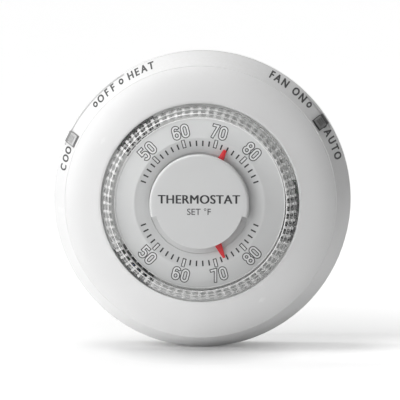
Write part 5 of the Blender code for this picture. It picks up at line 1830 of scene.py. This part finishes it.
sleeve_profile = [
    (10.9 * MM, 18.0 * MM, 0.15 * MM),
    (12.4 * MM, 18.0 * MM, 0.3 * MM),
    (12.4 * MM, 20.0 * MM, 0.2 * MM),
    (12.1 * MM, 20.3 * MM, 0.2 * MM),
    (12.1 * MM, 27.6 * MM, 0.2 * MM),
    (12.4 * MM, 27.9 * MM, 0.2 * MM),
    (12.4 * MM, 29.8 * MM, 0.2 * MM),
    (10.9 * MM, 29.8 * MM, 0.15 * MM),
]
sleeve = lathe("dial_sleeve_tube", filleted(sleeve_profile, 3), SLEEVE_WHITE, 128)
settle(sleeve, "setting_dial", ["dial_sleeve"], "sleeve_white")

coil_seed = add_object("coil_seed", bpy.data.meshes.new("coil_seed"), BIMETAL)
coil = run_tree(
    coil_seed,
    WIND_STRIP,
    BIMETAL,
    "bimetal_coil_strip",
    Turns=3.0,
    Inner_Radius=2.4 * MM,
    Outer_Radius=7.6 * MM,
    Width=4.0 * MM,
    Thickness=0.4 * MM,
    Level=23.0 * MM,
)
smooth(coil.data)
settle(coil, "head", ["bimetal_coil"], "bimetal")

arbor = lathe(
    "pointer_arbor_rod",
    filleted(
        [
            (0.01 * MM, 12.3 * MM, 0.0),
            (0.3 * MM, 12.3 * MM, 0.05 * MM),
            (0.8 * MM, 12.8 * MM, 0.1 * MM),
            (0.8 * MM, 21.0 * MM, 0.1 * MM),
            (1.5 * MM, 21.0 * MM, 0.15 * MM),
            (1.5 * MM, 22.6 * MM, 0.1 * MM),
            (1.3 * MM, 22.8 * MM, 0.1 * MM),
            (1.3 * MM, 23.2 * MM, 0.1 * MM),
            (1.5 * MM, 23.4 * MM, 0.1 * MM),
            (1.5 * MM, 25.0 * MM, 0.15 * MM),
            (0.8 * MM, 25.0 * MM, 0.1 * MM),
            (0.8 * MM, 33.55 * MM, 0.1 * MM),
            (0.01 * MM, 33.55 * MM, 0.0),
        ],
        3,
    ),
    STEEL,
    48,
)
settle(arbor, "thermometer", ["pointer_arbor"], "steel")

# ---------------------------------------------------------------- room, light and camera
FLOOR_LEVEL = -CASE_RADIUS
FLOOR_RINGS = (0.1, 0.3, 1.0, 4.0)
FLOOR_SIDES = 48
# The shade where the case stands: how it is squeezed and shifted, how deep it is and where it ends.
SHADE_SQUEEZE = (33.0, 20.0, 0.0)
SHADE_SHIFT = (-0.066, 0.52, 0.0)
SHADE_DEPTH = 0.45
SHADE_END = (-0.026, -0.016)
# The floor's painted light, seen only by the camera: from where to where it grows, how strong it gets, and
# its strip beside the case, which lightens the shadow there.
GLOW_SQUEEZE = (1.0, 0.72, 1.0)
GLOW_REACH = (0.045, 0.17)
GLOW_STRENGTH = (0.02, 0.5)
BESIDE_REACH = (-0.02, 0.03)
BESIDE_GLOW = 0.26
STRIP_START = (-0.065, -0.035)
STRIP_END = (-0.005, 0.022)


def floor_material():
    """A pale matt floor with a painted shadow where the case stands, and painted light that lightens it away
    from the case, both seen only by the camera.
    """
    made, tree, shader = start_material("studio_floor")
    place = tree.nodes.new("ShaderNodeTexCoord").outputs["Object"]
    clouds = add_node(tree, "ShaderNodeTexNoise", Vector=place, Scale=6.0, Detail=4.0)
    tone = blend_colour(tree, clouds.outputs["Fac"], (0.90, 0.90, 0.90), (0.93, 0.93, 0.93))
    parts = add_node(tree, "ShaderNodeSeparateXYZ", Vector=place)
    # Painted shadow: the floor's colour darkens in a soft patch where the case stands, for the camera only.
    spot = add_node(
        tree,
        "ShaderNodeVectorMath",
        {"operation": "MULTIPLY_ADD"},
        i0=place,
        i1=SHADE_SQUEEZE,
        i2=SHADE_SHIFT,
    )
    far = add_node(tree, "ShaderNodeVectorMath", {"operation": "LENGTH"}, i0=spot.outputs["Vector"])
    painted_shadow = remap(tree, far.outputs["Value"], 0.0, 1.0, SHADE_DEPTH, 0.0)
    painted_shadow = maths(tree, "MULTIPLY", painted_shadow, remap(tree, parts.outputs["Y"], *SHADE_END, 1.0, 0.0))
    seen = tree.nodes.new("ShaderNodeLightPath").outputs["Is Camera Ray"]
    painted_shadow = maths(tree, "MULTIPLY", painted_shadow, seen)
    tree.links.new(blend_colour(tree, painted_shadow, tone, (0.0, 0.0, 0.0)), shader.inputs["Base Color"])
    shader.inputs["Roughness"].default_value = 0.9
    shader.inputs["Specular IOR Level"].default_value = 0.1
    # Painted light: emission seen only by the camera, growing away from the case and in a strip beside it.
    drawn_in = add_node(tree, "ShaderNodeVectorMath", {"operation": "MULTIPLY"}, i0=place, i1=GLOW_SQUEEZE)
    away = add_node(tree, "ShaderNodeVectorMath", {"operation": "LENGTH"}, i0=drawn_in.outputs["Vector"])
    glow = remap(tree, away.outputs["Value"], *GLOW_REACH, *GLOW_STRENGTH)
    beside = remap(tree, parts.outputs["X"], *BESIDE_REACH, 0.0, BESIDE_GLOW)
    behind = remap(tree, parts.outputs["Y"], *STRIP_START, 0.0, 1.0)
    before = remap(tree, parts.outputs["Y"], *STRIP_END, 1.0, 0.0)
    strip = maths(tree, "MULTIPLY", behind, before)
    glow = maths(tree, "ADD", glow, maths(tree, "MULTIPLY", beside, strip))
    tree.links.new(maths(tree, "MULTIPLY", glow, seen), shader.inputs["Emission Strength"])
    shader.inputs["Emission Color"].default_value = (1.0, 1.0, 1.0, 1.0)
    return made


def build_floor():
    """A wide pale floor, laid in rings that open out from the case."""
    shape = bmesh.new()
    rings = [
        [
            shape.verts.new((reach * math.cos(turn), reach * math.sin(turn), FLOOR_LEVEL))
            for turn in (math.tau * i / FLOOR_SIDES for i in range(FLOOR_SIDES))
        ]
        for reach in FLOOR_RINGS
    ]
    shape.faces.new(rings[0])
    for near, far in zip(rings, rings[1:]):
        for i in range(FLOOR_SIDES):
            after = (i + 1) % FLOOR_SIDES
            shape.faces.new((near[i], far[i], far[after], near[after]))
    mesh = bpy.data.meshes.new("studio_floor")
    shape.to_mesh(mesh)
    shape.free()
    return add_object("studio_floor", mesh, floor_material())


build_floor()


def area_light(name, place, aim, size, power):
    """A square soft light, with its power in watts."""
    lamp = bpy.data.lights.new(name, "AREA")
    lamp.size = size
    lamp.energy = power
    made = bpy.data.objects.new(name, lamp)
    made.location = place
    made.rotation_euler = (Vector(aim) - Vector(place)).to_track_quat("-Z", "Y").to_euler()
    bpy.context.scene.collection.objects.link(made)
    return made


area_light("top_left", (-0.13, -0.02, 0.48), (0, -0.02, 0), 0.3, 1.2)
area_light("front", (-0.17, -0.45, 0.08), (0, -0.02, 0), 0.3, 0.35)

# Each soft glow of the room: where it comes from, how narrow it is and how strong it is.
ROOM_GLOWS = (
    ((-1.0, -0.4, 0.22), 4.0, 2.48),
    ((-1.0, 0.0, 0.5), 3.0, 0.72),
    ((0.5, 1.0, 0.5), 2.0, 0.6),
)
GLOW_THROUGH_CLEAR = 0.9


def build_room():
    """A white room whose light comes in soft glows from its sides."""
    world = bpy.data.worlds.new("studio")
    bpy.context.scene.world = world
    world.use_nodes = True
    tree = world.node_tree
    view = tree.nodes.new("ShaderNodeTexCoord").outputs["Generated"]
    total = None
    for direction, narrowness, strength in ROOM_GLOWS:
        towards = add_node(
            tree,
            "ShaderNodeVectorMath",
            {"operation": "DOT_PRODUCT"},
            i0=view,
            i1=Vector(direction).normalized(),
        )
        facing = maths(tree, "MAXIMUM", towards.outputs["Value"], 0.0)
        glow = maths(tree, "MULTIPLY", maths(tree, "POWER", facing, narrowness), strength)
        total = glow if total is None else maths(tree, "ADD", total, glow)
    path = tree.nodes.new("ShaderNodeLightPath")
    through = maths(tree, "MULTIPLY", path.outputs["Is Transmission Ray"], GLOW_THROUGH_CLEAR)
    seen = maths(tree, "MAXIMUM", path.outputs["Is Camera Ray"], through)
    tree.links.new(maths(tree, "MAXIMUM", total, seen), tree.nodes["Background"].inputs["Strength"])
    tree.nodes["Background"].inputs["Color"].default_value = (1, 1, 1, 1)


build_room()
bpy.context.scene.view_settings.view_transform = "Standard"

CAMERA_SIDE = math.radians(2.5)
CAMERA_RISE = math.radians(4.7)
CAMERA_DISTANCE = 2.2
CAMERA_AIM = Vector((-0.6, -17.0, -0.3)) * MM
camera_data = bpy.data.cameras.new("camera")
camera_data.lens = 653
camera_data.sensor_width = 36
camera = bpy.data.objects.new("camera", camera_data)
bpy.context.scene.collection.objects.link(camera)
towards_camera = Vector(
    (
        math.sin(CAMERA_SIDE) * math.cos(CAMERA_RISE),
        -math.cos(CAMERA_SIDE) * math.cos(CAMERA_RISE),
        math.sin(CAMERA_RISE),
    )
)
camera.location = CAMERA_AIM + towards_camera * CAMERA_DISTANCE
camera.rotation_euler = (-towards_camera).to_track_quat("-Z", "Y").to_euler()
bpy.context.scene.camera = camera
